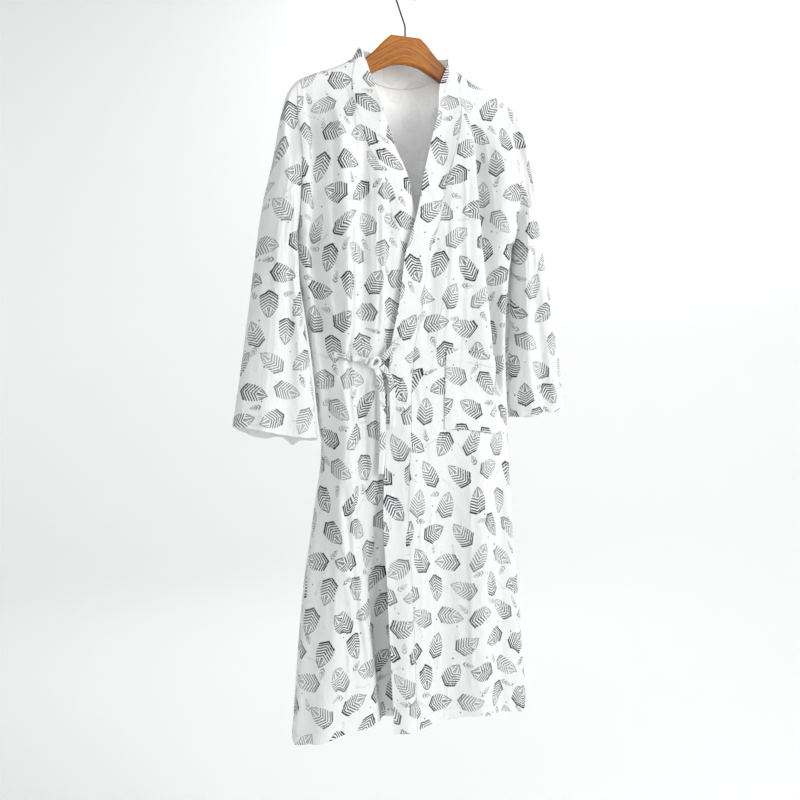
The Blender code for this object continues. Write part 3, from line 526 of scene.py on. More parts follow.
def hung(across, height, side, ruffle, fold_table, crease_table, seed):
    """The folds, creases and crinkle of one front, outwards in metres."""
    return (folds(fold_table, across, height, side)
            + side * creases(crease_table, across, height)
            + crinkle(across, height, seed, side, ruffle))


def over_front(across, height, ruffle):
    """The front that lies outside, as y for each x and height."""
    depth, side = section(across, height, "front")
    lifted = depth + hung(across, height, side, ruffle, *OVER)
    return body("middle", height) - lifted - 0.5 * SEAM


def under_front(across, height, ruffle):
    """The front that lies inside: where it is lapped, it follows the outer one."""
    depth, side = section(across, height, "front")
    covered = ease((across - edge("over", height) + UNDER_LAP) / UNDER_LAP_FADE)
    covered = covered * ease((LAP_TOP - height) / LAP_FADE)
    own = hung(across, height, side, ruffle, *UNDER)
    hidden = hung(across, height, side, ruffle, *OVER)
    deep = folds(DEEP_FOLDS, across, height, side)
    lifted = depth + own * (1.0 - covered) + hidden * covered + deep
    return body("middle", height) - lifted - 0.5 * SEAM + UNDER_DROP * covered


def back_top(across):
    """The upper edge of the back panel, dipped at the neck."""
    open_part = np.clip(1.0 - (across / NECK) ** 2, 0.0, 1.0)
    return shoulder(np.maximum(np.abs(across), NECK)) - NECK_DIP * open_part


def back(across, height, ruffle):
    """The back panel, as y for each x and height."""
    depth, side = section(across, height, "back")
    open_part = np.clip(1.0 - (across / NECK) ** 2, 0.0, 1.0)
    behind_neck = NECK_BACK * np.sqrt(open_part)
    below = np.maximum(back_top(across) - height, 0.0)
    settled = ease(below / (NECK_SETTLE * open_part + 0.00001))
    depth = behind_neck * (1.0 - settled) + depth * settled
    lifted = depth + folds(BACK_FOLDS, across, height, side)
    lifted = lifted + crinkle(across, height, 51, side, ruffle) * settled
    return body("middle", height) + lifted + 0.5 * SEAM


def unit(vectors):
    """The same directions, each one long."""
    return vectors / np.maximum(np.linalg.norm(vectors, axis=-1, keepdims=True), 1e-12)


def normals_of(points, wrap=False):
    """The normals of a grid of points."""
    along = np.gradient(points, axis=0)
    if wrap:
        across = np.roll(points, -1, axis=1) - np.roll(points, 1, axis=1)
    else:
        across = np.gradient(points, axis=1)
    return unit(np.cross(across, along))


def run_lengths(line):
    """How far each point of a line lies along it, or of many lines side by side."""
    steps = np.linalg.norm(np.diff(line, axis=0), axis=-1)
    return np.concatenate([np.zeros_like(steps[:1]), np.cumsum(steps, axis=0)])


def row_drops():
    """Shares of the cloth's length: close together over the shoulder, then even."""
    even = np.linspace(0.025, CLOTH_DROP, ROWS - len(SHOULDER_DROPS))
    return np.concatenate([SHOULDER_DROPS, even]) / CLOTH_DROP


def panel_points(across, low, height_of_top, surface, line_near, line_far, drops):
    """A panel's outer face, hung column by column between its two side lines."""
    points = np.zeros((len(drops), len(across), 3))
    for column, top_x in enumerate(across):
        top = float(height_of_top(np.array(top_x)))
        height = top + (low[column] - top) * drops
        start = line_near(height)
        finish = line_far(height)
        top_start = float(line_near(top))
        top_finish = float(line_far(top))
        x = start + (finish - start) * (top_x - top_start) / (top_finish - top_start)
        points[:, column, 0] = x
        points[:, column, 1] = surface(x, height)
        points[:, column, 2] = height
    return points


def front_points(over, parts, drops, ruffle):
    """The outer face of a front panel, from the side seam to the neck band."""
    if over:
        side, name, sign, surface = "right", "over", 1.0, over_front
        low = HEM + OVER_HEM_RISE * np.sin(math.pi * parts)
    else:
        side, name, sign, surface = "left", "under", -1.0, under_front
        low = HEM + UNDER_HEM_RISE * ease(parts / 0.5)
    low = low + HEM_WAVE * grain(parts, 0.0, 0.13, 1.0, 71 if over else 72)
    side_x = float(body(side, 0.0))
    across = side_x + (sign * NECK - side_x) * parts
    return panel_points(across, low, shoulder, lambda x, z: surface(x, z, ruffle),
                        lambda height: body(side, height),
                        lambda height: seam_line(name, height), drops)


def seam_normals(line):
    """Which way the cloth faces along a seam, square to it in the y-z plane."""
    along = np.gradient(line, axis=0)
    normal = unit(np.stack([np.zeros(len(line)), along[:, 2], -along[:, 1]], axis=1))
    normal[0] = (0.0, 0.0, 1.0)
    return normal


def settle_panel_normals(normals, points, near_x, far_x):
    """Turns the edges of a panel so that its wall meets its neighbours cleanly."""
    normals[0, :] = (0.0, 0.0, 1.0)
    for column, sign in ((0, near_x), (-1, far_x)):
        if sign == 0.0:
            continue
        open_side = points[:, column, 2] > ARMHOLE_LOW + 0.001
        normals[open_side, column, 0] = 0.0
        normals[~open_side, column] = (sign, 0.0, 0.0)
    normals[-1, :, 2] = 0.0
    return unit(normals)


def facing(points, towards):
    """The normals of a grid, turned to the front (-1) or to the back (1)."""
    normals = normals_of(points)
    middle = normals[len(normals) // 2, normals.shape[1] // 2]
    return -normals if middle[1] * towards < 0.0 else normals


def cloth_lengths(points, level=False):
    """How far each point lies along the cloth, across and down, in metres.

    With level, the first row starts at its own height, as it does on a cut
    panel whose shoulder slopes.
    """
    u = run_lengths(points.swapaxes(0, 1)).T
    v = run_lengths(points)
    return u, v - points[:1, :, 2] if level else v


def sleeve_lengths(points):
    """The sleeve laid out flat: its front, and its back opened out past the outer edge."""
    closed = np.concatenate([points, points[:, :1]], axis=1)
    around = run_lengths(closed.swapaxes(0, 1)).T
    half = points.shape[1] // 2
    underarm = points[:, half][:, None, (0, 2)]
    outward = unit(points[:, 0][:, None, (0, 2)] - underarm)
    from_underarm = np.abs(around - around[:, half][:, None])[:, :, None]
    laid = underarm + outward * from_underarm
    ring = np.linspace(-1.0, 1.0, len(points))
    slope = [np.polyval(np.polyder(np.polyfit(ring, laid[:, 0, n], 3)), ring) for n in (0, 1)]
    edge_way = unit(np.stack(slope, axis=1))[:, None, :]
    behind = laid - laid[:, -1:]
    along = (behind * edge_way).sum(axis=2, keepdims=True) * edge_way
    opened = laid[:, :1] + 2.0 * along - behind
    flat = np.where(np.arange(closed.shape[1])[None, :, None] > half, opened, laid)
    return flat[:, :, 0], -flat[:, :, 1]


def cloth_piece(name, points, normals, wall, finishes, shift, wrap=False, edges=None,
                level=False):
    """A wall of cloth: outer face, inner face and the raw rims between them.

    The UV map holds real lengths, moved by shift, and the attribute
    hem_distance holds how far each point is from the lower edge.
    """
    rows, columns = points.shape[:2]
    count = rows * columns
    down = cloth_lengths(points)[1]
    u, v = sleeve_lengths(points) if wrap else cloth_lengths(points, level)
    wide = u.shape[1]
    uv = np.stack([u + shift[0], v + shift[1]], axis=2).reshape(-1, 2)
    last = columns if wrap else columns - 1
    i, j = (a.ravel() for a in np.indices((rows - 1, last)))
    k = (j + 1) % columns
    outer, outer_map = (np.stack([i * size + j, i * size + next_j,
                                  (i + 1) * size + next_j, (i + 1) * size + j], axis=1)
                        for size, next_j in ((columns, k), (wide, j + 1)))
    corners = [outer, outer[:, ::-1] + count]
    maps = [outer_map, outer_map[:, ::-1]]
    j = np.arange(last)
    k = (j + 1) % columns
    low = (rows - 1) * columns
    low_map = (rows - 1) * wide
    rims = [(k, j, j + 1, j), (low + j, low + k, low_map + j, low_map + j + 1)]
    if not wrap:
        a = np.arange(rows - 1) * columns
        b = a + columns
        rims += [(a, b, a, b), (b + last, a + last, b + last, a + last)]
    for p, q, map_p, map_q in rims:
        corners.append(np.stack([p, q, q + count, p + count], axis=1))
        maps.append(np.stack([map_p, map_q, map_q, map_p], axis=1))
    faces = np.concatenate(corners)
    face_map = np.concatenate(maps)
    vertices = np.concatenate([points.reshape(-1, 3),
                               (points - normals * wall).reshape(-1, 3)])
    probe = (rows // 2) * last + last // 2
    a, b, c, d = vertices[faces[probe]]
    if np.dot(np.cross(c - a, d - b), normals.reshape(-1, 3)[faces[probe][0]]) < 0.0:
        faces = faces[:, ::-1]
        face_map = face_map[:, ::-1]
    piece = made(name, vertices, faces, finishes)
    hem = (down[-1:] - down if edges is None else edges).ravel()
    dress(piece.data, uv[face_map.ravel()], np.concatenate([hem, hem]))
    slots = np.zeros(len(faces), np.int32)
    slots[len(outer):2 * len(outer)] = 1
    piece.data.polygons.foreach_set("material_index", slots)
    choose(piece)
    bpy.ops.object.shade_smooth_by_angle(angle=math.radians(SMOOTH_ANGLE))
    return piece


def made(name, vertices, faces, finishes):
    """A new smooth piece from its points, faces and finishes."""
    mesh = bpy.data.meshes.new(name)
    mesh.from_pydata(vertices.tolist(), [], faces.tolist())
    for finish in finishes:
        mesh.materials.append(finish)
    mesh.polygons.foreach_set("use_smooth", np.ones(len(faces), bool))
    piece = bpy.data.objects.new(name, mesh)
    bpy.context.collection.objects.link(piece)
    return piece


def dress(mesh, corner_places, hem):
    """Gives a mesh its print map, in metres, and its distances from the hem."""
    layer = mesh.uv_layers.new(name="print")
    layer.data.foreach_set("uv", corner_places.astype(np.float32).ravel())
    attribute = mesh.attributes.new("hem_distance", "FLOAT", "POINT")
    attribute.data.foreach_set("value", hem.astype(np.float32))


def choose(piece):
    """Selects one piece alone and makes it the active one."""
    bpy.ops.object.select_all(action="DESELECT")
    piece.select_set(True)
    bpy.context.view_layer.objects.active = piece


def settle(piece, nodes=()):
    """Puts a finished piece on the body, in place of the nodes it stands for."""
    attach(piece, "root")
    if nodes:
        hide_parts(*nodes)
    return piece


class Wire:
    """One value in a material, which sums, products and steps can be made of."""

    def __init__(self, finish, socket):
        self.finish = finish
        self.socket = socket

    def maths(self, operation, *values):
        sockets = dict(enumerate((self,) + values))
        node = self.finish.add("ShaderNodeMath", {"operation": operation}, sockets)
        return Wire(self.finish, node.outputs[0])

    def __rsub__(self, other):
        return self.maths("MULTIPLY", -1.0).maths("ADD", other)

    def rise(self, low, high):
        """0 below low, 1 above high and a soft step between them."""
        node = self.finish.add("ShaderNodeMapRange", {"interpolation_type": "SMOOTHSTEP"},
                               {"Value": self, "From Min": low, "From Max": high})
        return Wire(self.finish, node.outputs[0])


def step_of(operation):
    """A way to write one Math node as an operator or a method of Wire."""
    return lambda self, *values: self.maths(operation, *values)


for written, operation in (
        ("__add__", "ADD"), ("__radd__", "ADD"), ("__sub__", "SUBTRACT"),
        ("__mul__", "MULTIPLY"), ("__rmul__", "MULTIPLY"), ("__truediv__", "DIVIDE"),
        ("__pow__", "POWER"), ("__abs__", "ABSOLUTE"), ("floor", "FLOOR"),
        ("fraction", "FRACT"), ("sine", "SINE"), ("cosine", "COSINE"),
        ("at_least", "MAXIMUM"), ("at_most", "MINIMUM")):
    setattr(Wire, written, step_of(operation))


class Finish:
    """A material under its maker's hand: nodes are added and wired by name."""

    def __init__(self, name, roughness, fixed=()):
        self.material = bpy.data.materials.new(name)
        self.material.use_nodes = True
        self.tree = self.material.node_tree
        self.shader = self.tree.nodes["Principled BSDF"]
        self.give("Roughness", roughness)
        for socket, value in fixed:
            self.give(socket, value)

    def add(self, kind, settings, sockets):
        """A node of a kind, with its settings and its sockets' values or wires."""
        node = self.tree.nodes.new(kind)
        for name, value in settings.items():
            setattr(node, name, value)
        for name, value in sockets.items():
            self.feed(node.inputs[name], value)
        return node

    def feed(self, socket, value):
        if isinstance(value, Wire):
            self.tree.links.new(value.socket, socket)
        else:
            socket.default_value = value

    def give(self, name, value):
        self.feed(self.shader.inputs[name], value)

    def wire(self, node, output=0):
        """What comes out of a node."""
        return Wire(self, node.outputs[output])

    def split(self, vector):
        node = self.add("ShaderNodeSeparateXYZ", {}, {0: vector})
        return [self.wire(node, axis) for axis in range(3)]

    def join(self, x, y, z):
        return self.wire(self.add("ShaderNodeCombineXYZ", {}, {0: x, 1: y, 2: z}))

    def cloth_place(self):
        node = self.add("ShaderNodeUVMap", {"uv_map": "print"}, {})
        return self.split(self.wire(node))[:2]

    def object_place(self):
        node = self.add("ShaderNodeTexCoord", {}, {})
        return self.split(self.wire(node, "Object"))

    def cloud(self, vector, scale, detail=2.0, rough=0.5, warp=0.0):
        node = self.add("ShaderNodeTexNoise", {},
                        {"Vector": vector, "Scale": scale, "Detail": detail,
                         "Roughness": rough, "Distortion": warp})
        return self.wire(node)

    def strands(self, x, y, z, *shape):
        """Noise stretched along the axes by what each is multiplied with."""
        return self.cloud(self.join(x, y, z), 1.0, *shape)

    def dice(self, column, row, seed):
        """Four uneven numbers from 0 to 1 for each square of the print."""
        node = self.add("ShaderNodeTexWhiteNoise", {"noise_dimensions": "3D"},
                        {"Vector": self.join(column, row, seed)})
        parts = self.add("ShaderNodeSeparateColor", {}, {0: self.wire(node, "Color")})
        return [self.wire(node, "Value")] + [self.wire(parts, n) for n in range(3)]

    def blend(self, share, first, second):
        node = self.add("ShaderNodeMix", {"data_type": "RGBA"},
                        {0: share, 6: first, 7: second})
        return self.wire(node, 2)

    def relief(self, height, depth, strength=1.0, over=None):
        sockets = {"Height": height, "Distance": depth, "Strength": strength}
        if over is not None:
            sockets["Normal"] = over
        return self.wire(self.add("ShaderNodeBump", {}, sockets))


def motif(finish, across, down, brush, spec):
    """The ink of one kind of leaf, one to each square of a staggered lattice."""
    place_u = (across + spec["shift_u"]) / spec["pitch_u"]
    place_v = (down + spec["shift_v"]) / spec["pitch_v"]
    row = place_v.floor()
    place_u = place_u + (row * 0.5).fraction()
    column = place_u.floor()
    turn, play_u, play_v, luck = finish.dice(column, row, spec["seed"])
    x = (place_u - column - 0.5) * spec["pitch_u"] - (play_u - 0.5) * spec["play"]
    y = (place_v - row - 0.5) * spec["pitch_v"] - (play_v - 0.5) * spec["play"]
    turn = turn * (2.0 * math.pi)
    cosine = turn.cosine()
    sine = turn.sine()
    wobble = (brush - 0.5) * spec["wobble"]
    along = (x * cosine + y * sine) / spec["half_length"] + wobble
    wide = abs((y * cosine - x * sine) / spec["half_length"] + wobble)
    chevron = along - wide * spec["slope"]
    taper = ((along + LEAF_BELLY) / (1.0 + LEAF_BELLY)).at_least(0.0)
    limit = (1.0 - taper * taper) * spec["width"]
    inside = (limit - wide).rise(-0.015, 0.035) * (chevron + 1.0).rise(-0.02, 0.03)
    step = (chevron + 1.0) * spec["strokes"]
    first = 1.0 - step.rise(0.85, 1.05)
    part = step.fraction()
    thick = first * (spec["heavy"] - spec["fine"]) + spec["fine"] + (brush - 0.5) * 0.5
    stroke = (1.0 - (part - thick).rise(-0.09, 0.09)) * part.rise(0.0, 0.10)
    tip = (chevron - spec["tip"]).rise(-0.03, 0.03)
    fan = (wide / (1.16 - along) * spec["fan"] + 0.25).fraction()
    fan = 1.0 - abs(fan - 0.5).rise(0.13, 0.24)
    rim = (wide - limit).rise(-0.13, -0.07)
    mark = stroke * (1.0 - tip) + fan.at_least(rim) * tip
    mark = mark * (1.0 - along.rise(-0.5, 0.9) * TIP_FADE)
    there = 1.0 - luck.rise(spec["chance"], spec["chance"] + 0.001)
    tone = ((luck * 7.3).fraction() * TONE_SPREAD + TONE_LEAST) * spec["tone"]
    return mark * inside * there * tone


def specks(finish, across, down, brush):
    """Small dots and berries between the leaves."""
    place_u = across / SPECK_PITCH
    place_v = down / SPECK_PITCH
    column = place_u.floor()
    row = place_v.floor()
    size, play_u, play_v, luck = finish.dice(column, row, 29.0)
    x = (place_u - column - 0.5 - (play_u - 0.5) * 0.7) * SPECK_PITCH
    y = (place_v - row - 0.5 - (play_v - 0.5) * 0.7) * SPECK_PITCH
    distance = (x * x + y * y) ** 0.5 + (brush - 0.5) * 0.0010
    dot = 1.0 - (distance - size * 0.0009).rise(0.0006, 0.0013)
    return dot * (1.0 - luck.rise(SPECK_CHANCE, SPECK_CHANCE + 0.001)) * SPECK_TONE


def cotton(name, sizes, strength, painted_light=1.0):
    """Crinkled white cotton gauze with the grey leaf print at a given strength."""
    finish = Finish(name, 0.86, (("Sheen Weight", 0.12), ("Sheen Roughness", 0.45),
                                 ("Specular IOR Level", 0.22),
                                 ("Subsurface Weight", 0.6), ("Subsurface Scale", 0.004),
                                 ("Subsurface Radius", (1.0, 1.0, 1.0))))
    across, down = finish.cloth_place()
    flat = finish.join(across, down, 0.0)
    brush = finish.cloud(flat, 330.0, 2.0, 0.6)
    ink = None
    for row in MOTIFS:
        spec = dict(zip(MOTIF_COLUMNS, row))
        for size in MOTIF_SIZES:
            spec[size] *= sizes.leaf_scale
        layer = motif(finish, across, down, brush, spec)
        ink = layer if ink is None else ink.at_least(layer)
    ink = ink.at_least(specks(finish, across, down, brush))
    dry = finish.cloud(finish.join(across * 1.7, down, 3.0), 1400.0, 2.0, 0.7)
    ink = ink * (dry.rise(0.30, 0.55) * INK_SPREAD + INK_LEAST) * strength
    slub = finish.strands(across * 60.0, down * 900.0, 0.0)
    wash = finish.cloud(flat, 9.0, 2.0)
    shade = (slub - 0.5) * 0.10 + (wash - 0.5) * 0.08 + 0.10
    # The factor on each tone brightens the ground: painted light for the robe's inside, which
    # the lamps reach little.
    thread_tones = [(*(min(part * painted_light, 0.95) for part in tone), 1.0)
                    for tone in (sizes.cloth_colour, sizes.cloth_shade)]
    ground = finish.blend(shade, *thread_tones)
    finish.give("Base Color", finish.blend(ink, ground, (*sizes.ink_colour, 1.0)))
    thread = 2.0 * math.pi / THREAD_PITCH
    weave = (across * thread).sine() * (down * thread).sine()
    puckers = finish.strands(across * 150.0, down * 46.0, 0.0, 3.0, 0.6, 0.6)
    crepe = finish.strands(across * 520.0, down * 210.0, 1.0)
    hem = finish.add("ShaderNodeAttribute", {"attribute_name": "hem_distance"}, {})
    turned = 1.0 - finish.wire(hem, "Fac").rise(HEM_TURN - TURN_EDGE, HEM_TURN + TURN_EDGE)
    soft = finish.relief(puckers, 0.0022, 0.55)
    soft = finish.relief(crepe, 0.0006, 0.45, soft)
    soft = finish.relief(weave, 0.00012, 0.35, soft)
    finish.give("Normal", finish.relief(turned, 0.0007, 0.9, soft))
    return finish.material


def varnished_wood(sizes):
    """Satin varnished wood with its grain along the hanger's arms, darker towards its ends,
    with painted shade at the +x end.
    """
    finish = Finish("satin_wood", 0.42, (("Coat Roughness", 0.22),
                                         ("Specular IOR Level", 0.22)))
    x, y, z = finish.object_place()
    bow = z + (x * x + 0.0004) ** 0.5 * 0.72
    bands = finish.strands(x * 6.0, y * 40.0, bow * 95.0, 3.0, 0.55, 1.0)
    rings = ((bands * 16.0).sine() * 0.5 + 0.5) ** 1.4
    pores = finish.strands(x * 70.0, y * 900.0, bow * 1500.0)
    streak = finish.strands(x * 14.0, y * 120.0, bow * 330.0, 3.0)
    # Darker towards both ends, and much darker towards +x: the darkening towards +x is
    # painted shade where the collar shades the wood.
    ends = abs(x).rise(0.02, 0.10) * 0.18 + x.rise(0.030, 0.075) * 0.48
    fibre = finish.strands(x * 90.0, y * 300.0, bow * 1100.0, 3.0)
    share = rings * 0.26 + streak.rise(0.36, 0.68) * 0.42 + fibre.rise(0.42, 0.62) * 0.26
    share = (share + ends).at_most(1.0)
    colour = finish.blend(share, (*sizes.wood_colour, 1.0), (*sizes.wood_grain, 1.0))
    pore = pores.rise(0.62, 0.72)
    colour = finish.blend(pore * 0.55, colour, (*sizes.wood_pore, 1.0))
    finish.give("Base Color", colour)
    finish.give("Roughness", streak * 0.16 + 0.36)
    finish.give("Coat Weight", 0.12 - pore * 0.10)
    finish.give("Normal", finish.relief(share - pore, 0.00025, 0.5))
    return finish.material


def dark_wire(sizes):
    """Black satin wire, a little worn."""
    finish = Finish("black_wire", 0.45, (("Specular IOR Level", 0.25),))
    place = finish.join(*finish.object_place())
    worn = finish.cloud(place, 190.0, 3.0)
    rub = worn.rise(0.58, 0.78)
    finish.give("Base Color", finish.blend(rub * 0.25, (*sizes.wire_colour, 1.0),
                                           (0.16, 0.15, 0.15, 1.0)))
    finish.give("Metallic", rub * 0.2)
    finish.give("Roughness", worn * 0.20 + 0.42)
    finish.give("Normal", finish.relief(finish.cloud(place, 900.0, 2.0), 0.0001, 0.5))
    return finish.material


def sewing_thread(sizes):
    """Pale twisted thread."""
    finish = Finish("sewing_thread", 0.7, (("Sheen Weight", 0.3),))
    x, y, z = finish.object_place()
    twist = ((x + y + z) * 9000.0).sine() * 0.5 + 0.5
    finish.give("Base Color", finish.blend(twist * 0.35, (*sizes.thread_colour, 1.0),
                                           (0.55, 0.55, 0.55, 1.0)))
    finish.give("Normal", finish.relief(twist, 0.0001, 0.6))
    return finish.material


def finish_of(name, make):
    """A material is made once and shared by the pieces that wear it."""
    found = bpy.data.materials.get(name)
    return found if found else make()


def cloths(sizes):
    """The printed outside of the cloth and its inside, with faint ink and a ground lightened
    as painted light.
    """
    printed = finish_of("leaf_cotton", lambda: cotton("leaf_cotton", sizes, 1.0))
    inside = finish_of("leaf_cotton_inside",
                       lambda: cotton("leaf_cotton_inside", sizes, INSIDE_INK,
                                      INSIDE_PAINTED_LIGHT))
    return printed, inside


def back_columns(count):
    """Where the columns of the back start, closer together at the neck."""
    left = float(body("left", 0.0))
    right = float(body("right", 0.0))
    neck_count = int(count * 0.5)
    side_count = (count - neck_count) // 2
    side = np.linspace(0.0, 1.0, side_count + 1)[:-1]
    neck = -NECK * np.cos(np.linspace(0.0, math.pi, neck_count + 1))
    return np.concatenate([left + (-NECK - left) * side, neck,
                           (right + (NECK - right) * side)[::-1]])


def sleeve_points(table, fold_table, side, ruffle, seed):
    """The outer face of a sleeve, ring by ring from the armhole to the cuff."""
    root_x = float(body(side, 0.0))
    outward = -1.0 if side == "left" else 1.0
    top = float(shoulder(np.array(root_x)))
    first = (0.0, root_x + outward * SEAM, top, root_x + outward * SEAM, ARMHOLE_LOW,
             ARMHOLE_DEPTH, 0.0)
    rows = (first,) + table
    turn = np.linspace(0.0, 2.0 * math.pi, SLEEVE_FINE_ROUND + 1)[:-1]
    place = np.cos(turn)
    swing = np.sin(turn)
    root_z = 0.5 * (top + ARMHOLE_LOW) + 0.5 * (top - ARMHOLE_LOW) * place
    root_front, root_back = (section(root_x, root_z, name)[0] for name in ("front", "back"))
    root_y = np.where(swing > 0.0, -root_front, root_back)
    root_y = np.where(np.abs(swing) < 1e-6, 0.0, root_y)
    rings = np.linspace(0.0, 1.0, SLEEVE_FINE_RINGS)
    points = np.zeros((len(rings), len(turn), 3))
    for ring, along in enumerate(rings):
        value = {name: float(read(rows, SLEEVE_COLUMNS, name, along))
                 for name in SLEEVE_COLUMNS[1:]}
        outer = np.array((value["outer_x"], 0.0, value["outer_z"]))
        inner = np.array((value["inner_x"], 0.0, value["inner_z"]))
        lens = -np.sign(swing) * np.abs(swing) ** SLEEVE_FLATNESS
        lift = np.zeros(len(turn))
        for row in fold_table:
            fold = dict(zip(SLEEVE_FOLD_COLUMNS, row))
            centre = fold["top_place"] + (fold["low_place"] - fold["top_place"]) * along
            amount = fold["lift"] * float(ease((along - fold["start"]) / SLEEVE_FOLD_FADE))
            lift = lift + amount * np.exp(-((place - centre) / fold["width"]) ** 2)
        flank = np.where(swing > 0.0, 0.0, 7.3)
        wide = place * 0.14 + flank
        run = along * 0.55
        small = grain(wide, run, 0.019, 0.11, seed)
        small = small + 0.5 * grain(wide + 0.2 * along, run, 0.010, 0.035, seed + 1)
        line = 1.0 - 3.0 * np.abs(grain(wide - 0.1 * along, run, 0.020, 0.12, seed + 2))
        line = np.clip(line, 0.0, 1.0) ** 2
        lift = lift + ruffle * (small + 1.1 * line) * float(ease(along / 0.2))
        lift = lift * np.abs(swing) ** 0.5
        y = lens * (value["depth"] + lift)
        blend = float(ease(along / SLEEVE_BLEND))
        points[ring] = 0.5 * (outer + inner) + place[:, None] * 0.5 * (outer - inner)
        points[ring, :, 1] = root_y * (1.0 - blend) + y * blend
        points[ring, :, 2] -= value["back_drop"] * np.maximum(lens, 0.0)
        cuff = HEM_WAVE * grain(wide, 0.0, 0.04, 1.0, seed + 3)
        for spot, size, fall in CUFF_POINTS.get(side, ()):
            near = np.exp(-((place - spot) / size) ** 2) * (swing < 0.0)
            cuff = cuff - fall * near
        points[ring, :, 2] += cuff * float(ease((along - 0.8) / 0.2))
    return points


def band_points(drops, ruffle):
    """The outer face of the neck band, from one hem over the neck to the other."""
    top = float(shoulder(np.array(NECK)))
    parts = np.linspace(0.0, 1.0, BAND_ACROSS)
    sides = {}
    for name, sign, surface, low in (
            ("under", -1.0, under_front, HEM + UNDER_HEM_RISE),
            ("over", 1.0, over_front, HEM)):
        seam_z = top + (low - top) * drops
        seam_x = seam_line(name, seam_z) - sign * BAND_SEAM
        rise = BAND_RISE * (1.0 - ease((top - seam_z) / BAND_RISE_FADE))
        edge_z = seam_z + rise
        edge_x = edge(name, edge_z)
        sides[name] = []
        for part in parts:
            x = edge_x + (seam_x - edge_x) * part
            z = edge_z + (seam_z - edge_z) * part
            y = surface(x, z, ruffle)
            if part < 1.0:
                y = np.minimum(y, -BAND_CLEAR * ease((z[0] - z) / BAND_TURN))
            pull = ruffle * 0.45 * math.sin(math.pi * part)
            pull = pull * ease((top - seam_z) / 0.05)
            y = y - pull * (1.0 + grain(part, z, 0.8, 0.0085, 91))
            sides[name].append(np.stack([x, y, z], axis=1))
    angles = np.linspace(0.0, math.pi, 61)[1:-1]
    seam_x = -NECK * np.cos(angles)
    seam_z = back_top(seam_x)
    seam_y = back(seam_x, seam_z, ruffle)
    edge_z = top + BAND_RISE - RIM_DIP * np.sin(angles) + RIM_WAVE * np.sin(2.0 * angles) ** 2
    seam = np.stack([seam_x, seam_y, seam_z + SEAM_AT_NECK], axis=1)
    rim = np.stack([-BAND_TOP * np.cos(angles), BAND_BACK * np.sin(angles), edge_z], axis=1)
    neck = [rim + (seam - rim) * part for part in parts]
    columns = [np.concatenate([sides["under"][n][::-1], neck[n], sides["over"][n]])
               for n in range(len(parts))]
    return np.stack(columns, axis=1)


def smooth_path(rows, count):
    """An even run of points on a smooth line through a few given ones."""
    rows = np.array(rows, float)
    padded = np.concatenate([[2.0 * rows[0] - rows[1]], rows, [2.0 * rows[-1] - rows[-2]]])
    spots = np.linspace(0.0, len(rows) - 1.0, count)
    index = np.minimum(spots.astype(int), len(rows) - 2)
    t = (spots - index)[:, None]
    a, b, c, d = (padded[index + n] for n in range(4))
    return 0.5 * (2.0 * b + (c - a) * t + (2.0 * a - 5.0 * b + 4.0 * c - d) * t * t
                  + (3.0 * b - a - 3.0 * c + d) * t * t * t)


def ahead(x, z, off, ruffle):
    """A place in front of both fronts, off the nearer one."""
    spots = x + np.linspace(-TIE_FEEL, TIE_FEEL, 7)
    heights = np.full(len(spots), z)
    nearest = min(under_front(spots, heights, ruffle).min(),
                  over_front(spots, heights, ruffle).min())
    return (x, float(nearest) - off, z)


def off_side(x, z, off, ruffle):
    """A place square off the inner front, for the tie at the side."""
    spots = x + np.array((-SIDE_FEEL, 0.0, SIDE_FEEL))
    depth = under_front(spots, np.full(3, z), ruffle)
    slope = float(depth[2] - depth[0]) / (2.0 * SIDE_FEEL)
    size = math.sqrt(1.0 + slope * slope)
    return (x + off * slope / size, float(depth[1]) - off / size, z)


def tie_piece(name, path, wide_way, sizes, finish, shift):
    """A narrow tie: a flattened tube of cloth, crowned along its middle."""
    path = smooth_path(path, TIE_ALONG)
    along = unit(np.gradient(path, axis=0))
    wide = np.tile(np.array(wide_way, float), (len(path), 1))
    wide = unit(wide - along * (along * wide).sum(axis=1, keepdims=True))
    normal = unit(np.cross(along, wide))
    if normal[:, 1].sum() > 0.0:
        normal = -normal
    across = np.linspace(-1.0, 1.0, TIE_ACROSS)
    run = np.linspace(0.0, 1.0, len(path))
    pinch = 1.0 - 0.10 * np.abs(grain(run, 0.0, 0.13, 1.0, int(shift[0] * 100) + 5))
    points = (path[:, None, :] + wide[:, None, :] * across[None, :, None]
              * (sizes.tie_width / 2) * pinch[:, None, None])
    wander = across[None, :] * 0.9 + 0.8 * np.sin(run[:, None] * 7.0)
    rolled = TIE_ROLL * np.sin(wander * 3.6)
    crown = TIE_CROWN * (1.0 - across ** 2)[None, :] - 0.5 * TIE_CROWN
    ripple = grain(across[None, :] + 2.0, run[:, None] * 0.2, 0.8, 0.009, 17)
    ripple = TIE_RIPPLE * ripple + rolled
    points = points + normal[:, None, :] * (crown + ripple)[..., None]
    normals = np.repeat(normal[:, None, :], len(across), axis=1)
    return cloth_piece(name, points, normals, TIE_CLOTH, (finish, finish), shift,
                       edges=np.full(points.shape[:2], 1.0))


def sewn_run(line, normals, pitch):
    """Places for stitches along a line: middle, way along and way out for each."""
    length = run_lengths(line)

    def along_it(spots, values):
        return np.stack([np.interp(spots, length, values[:, n]) for n in range(3)], axis=1)

    spots = np.arange(0.5 * pitch, length[-1], pitch)
    way = along_it(spots + STITCH_REACH, line) - along_it(spots - STITCH_REACH, line)
    return along_it(spots, line), unit(way), unit(along_it(spots, normals))


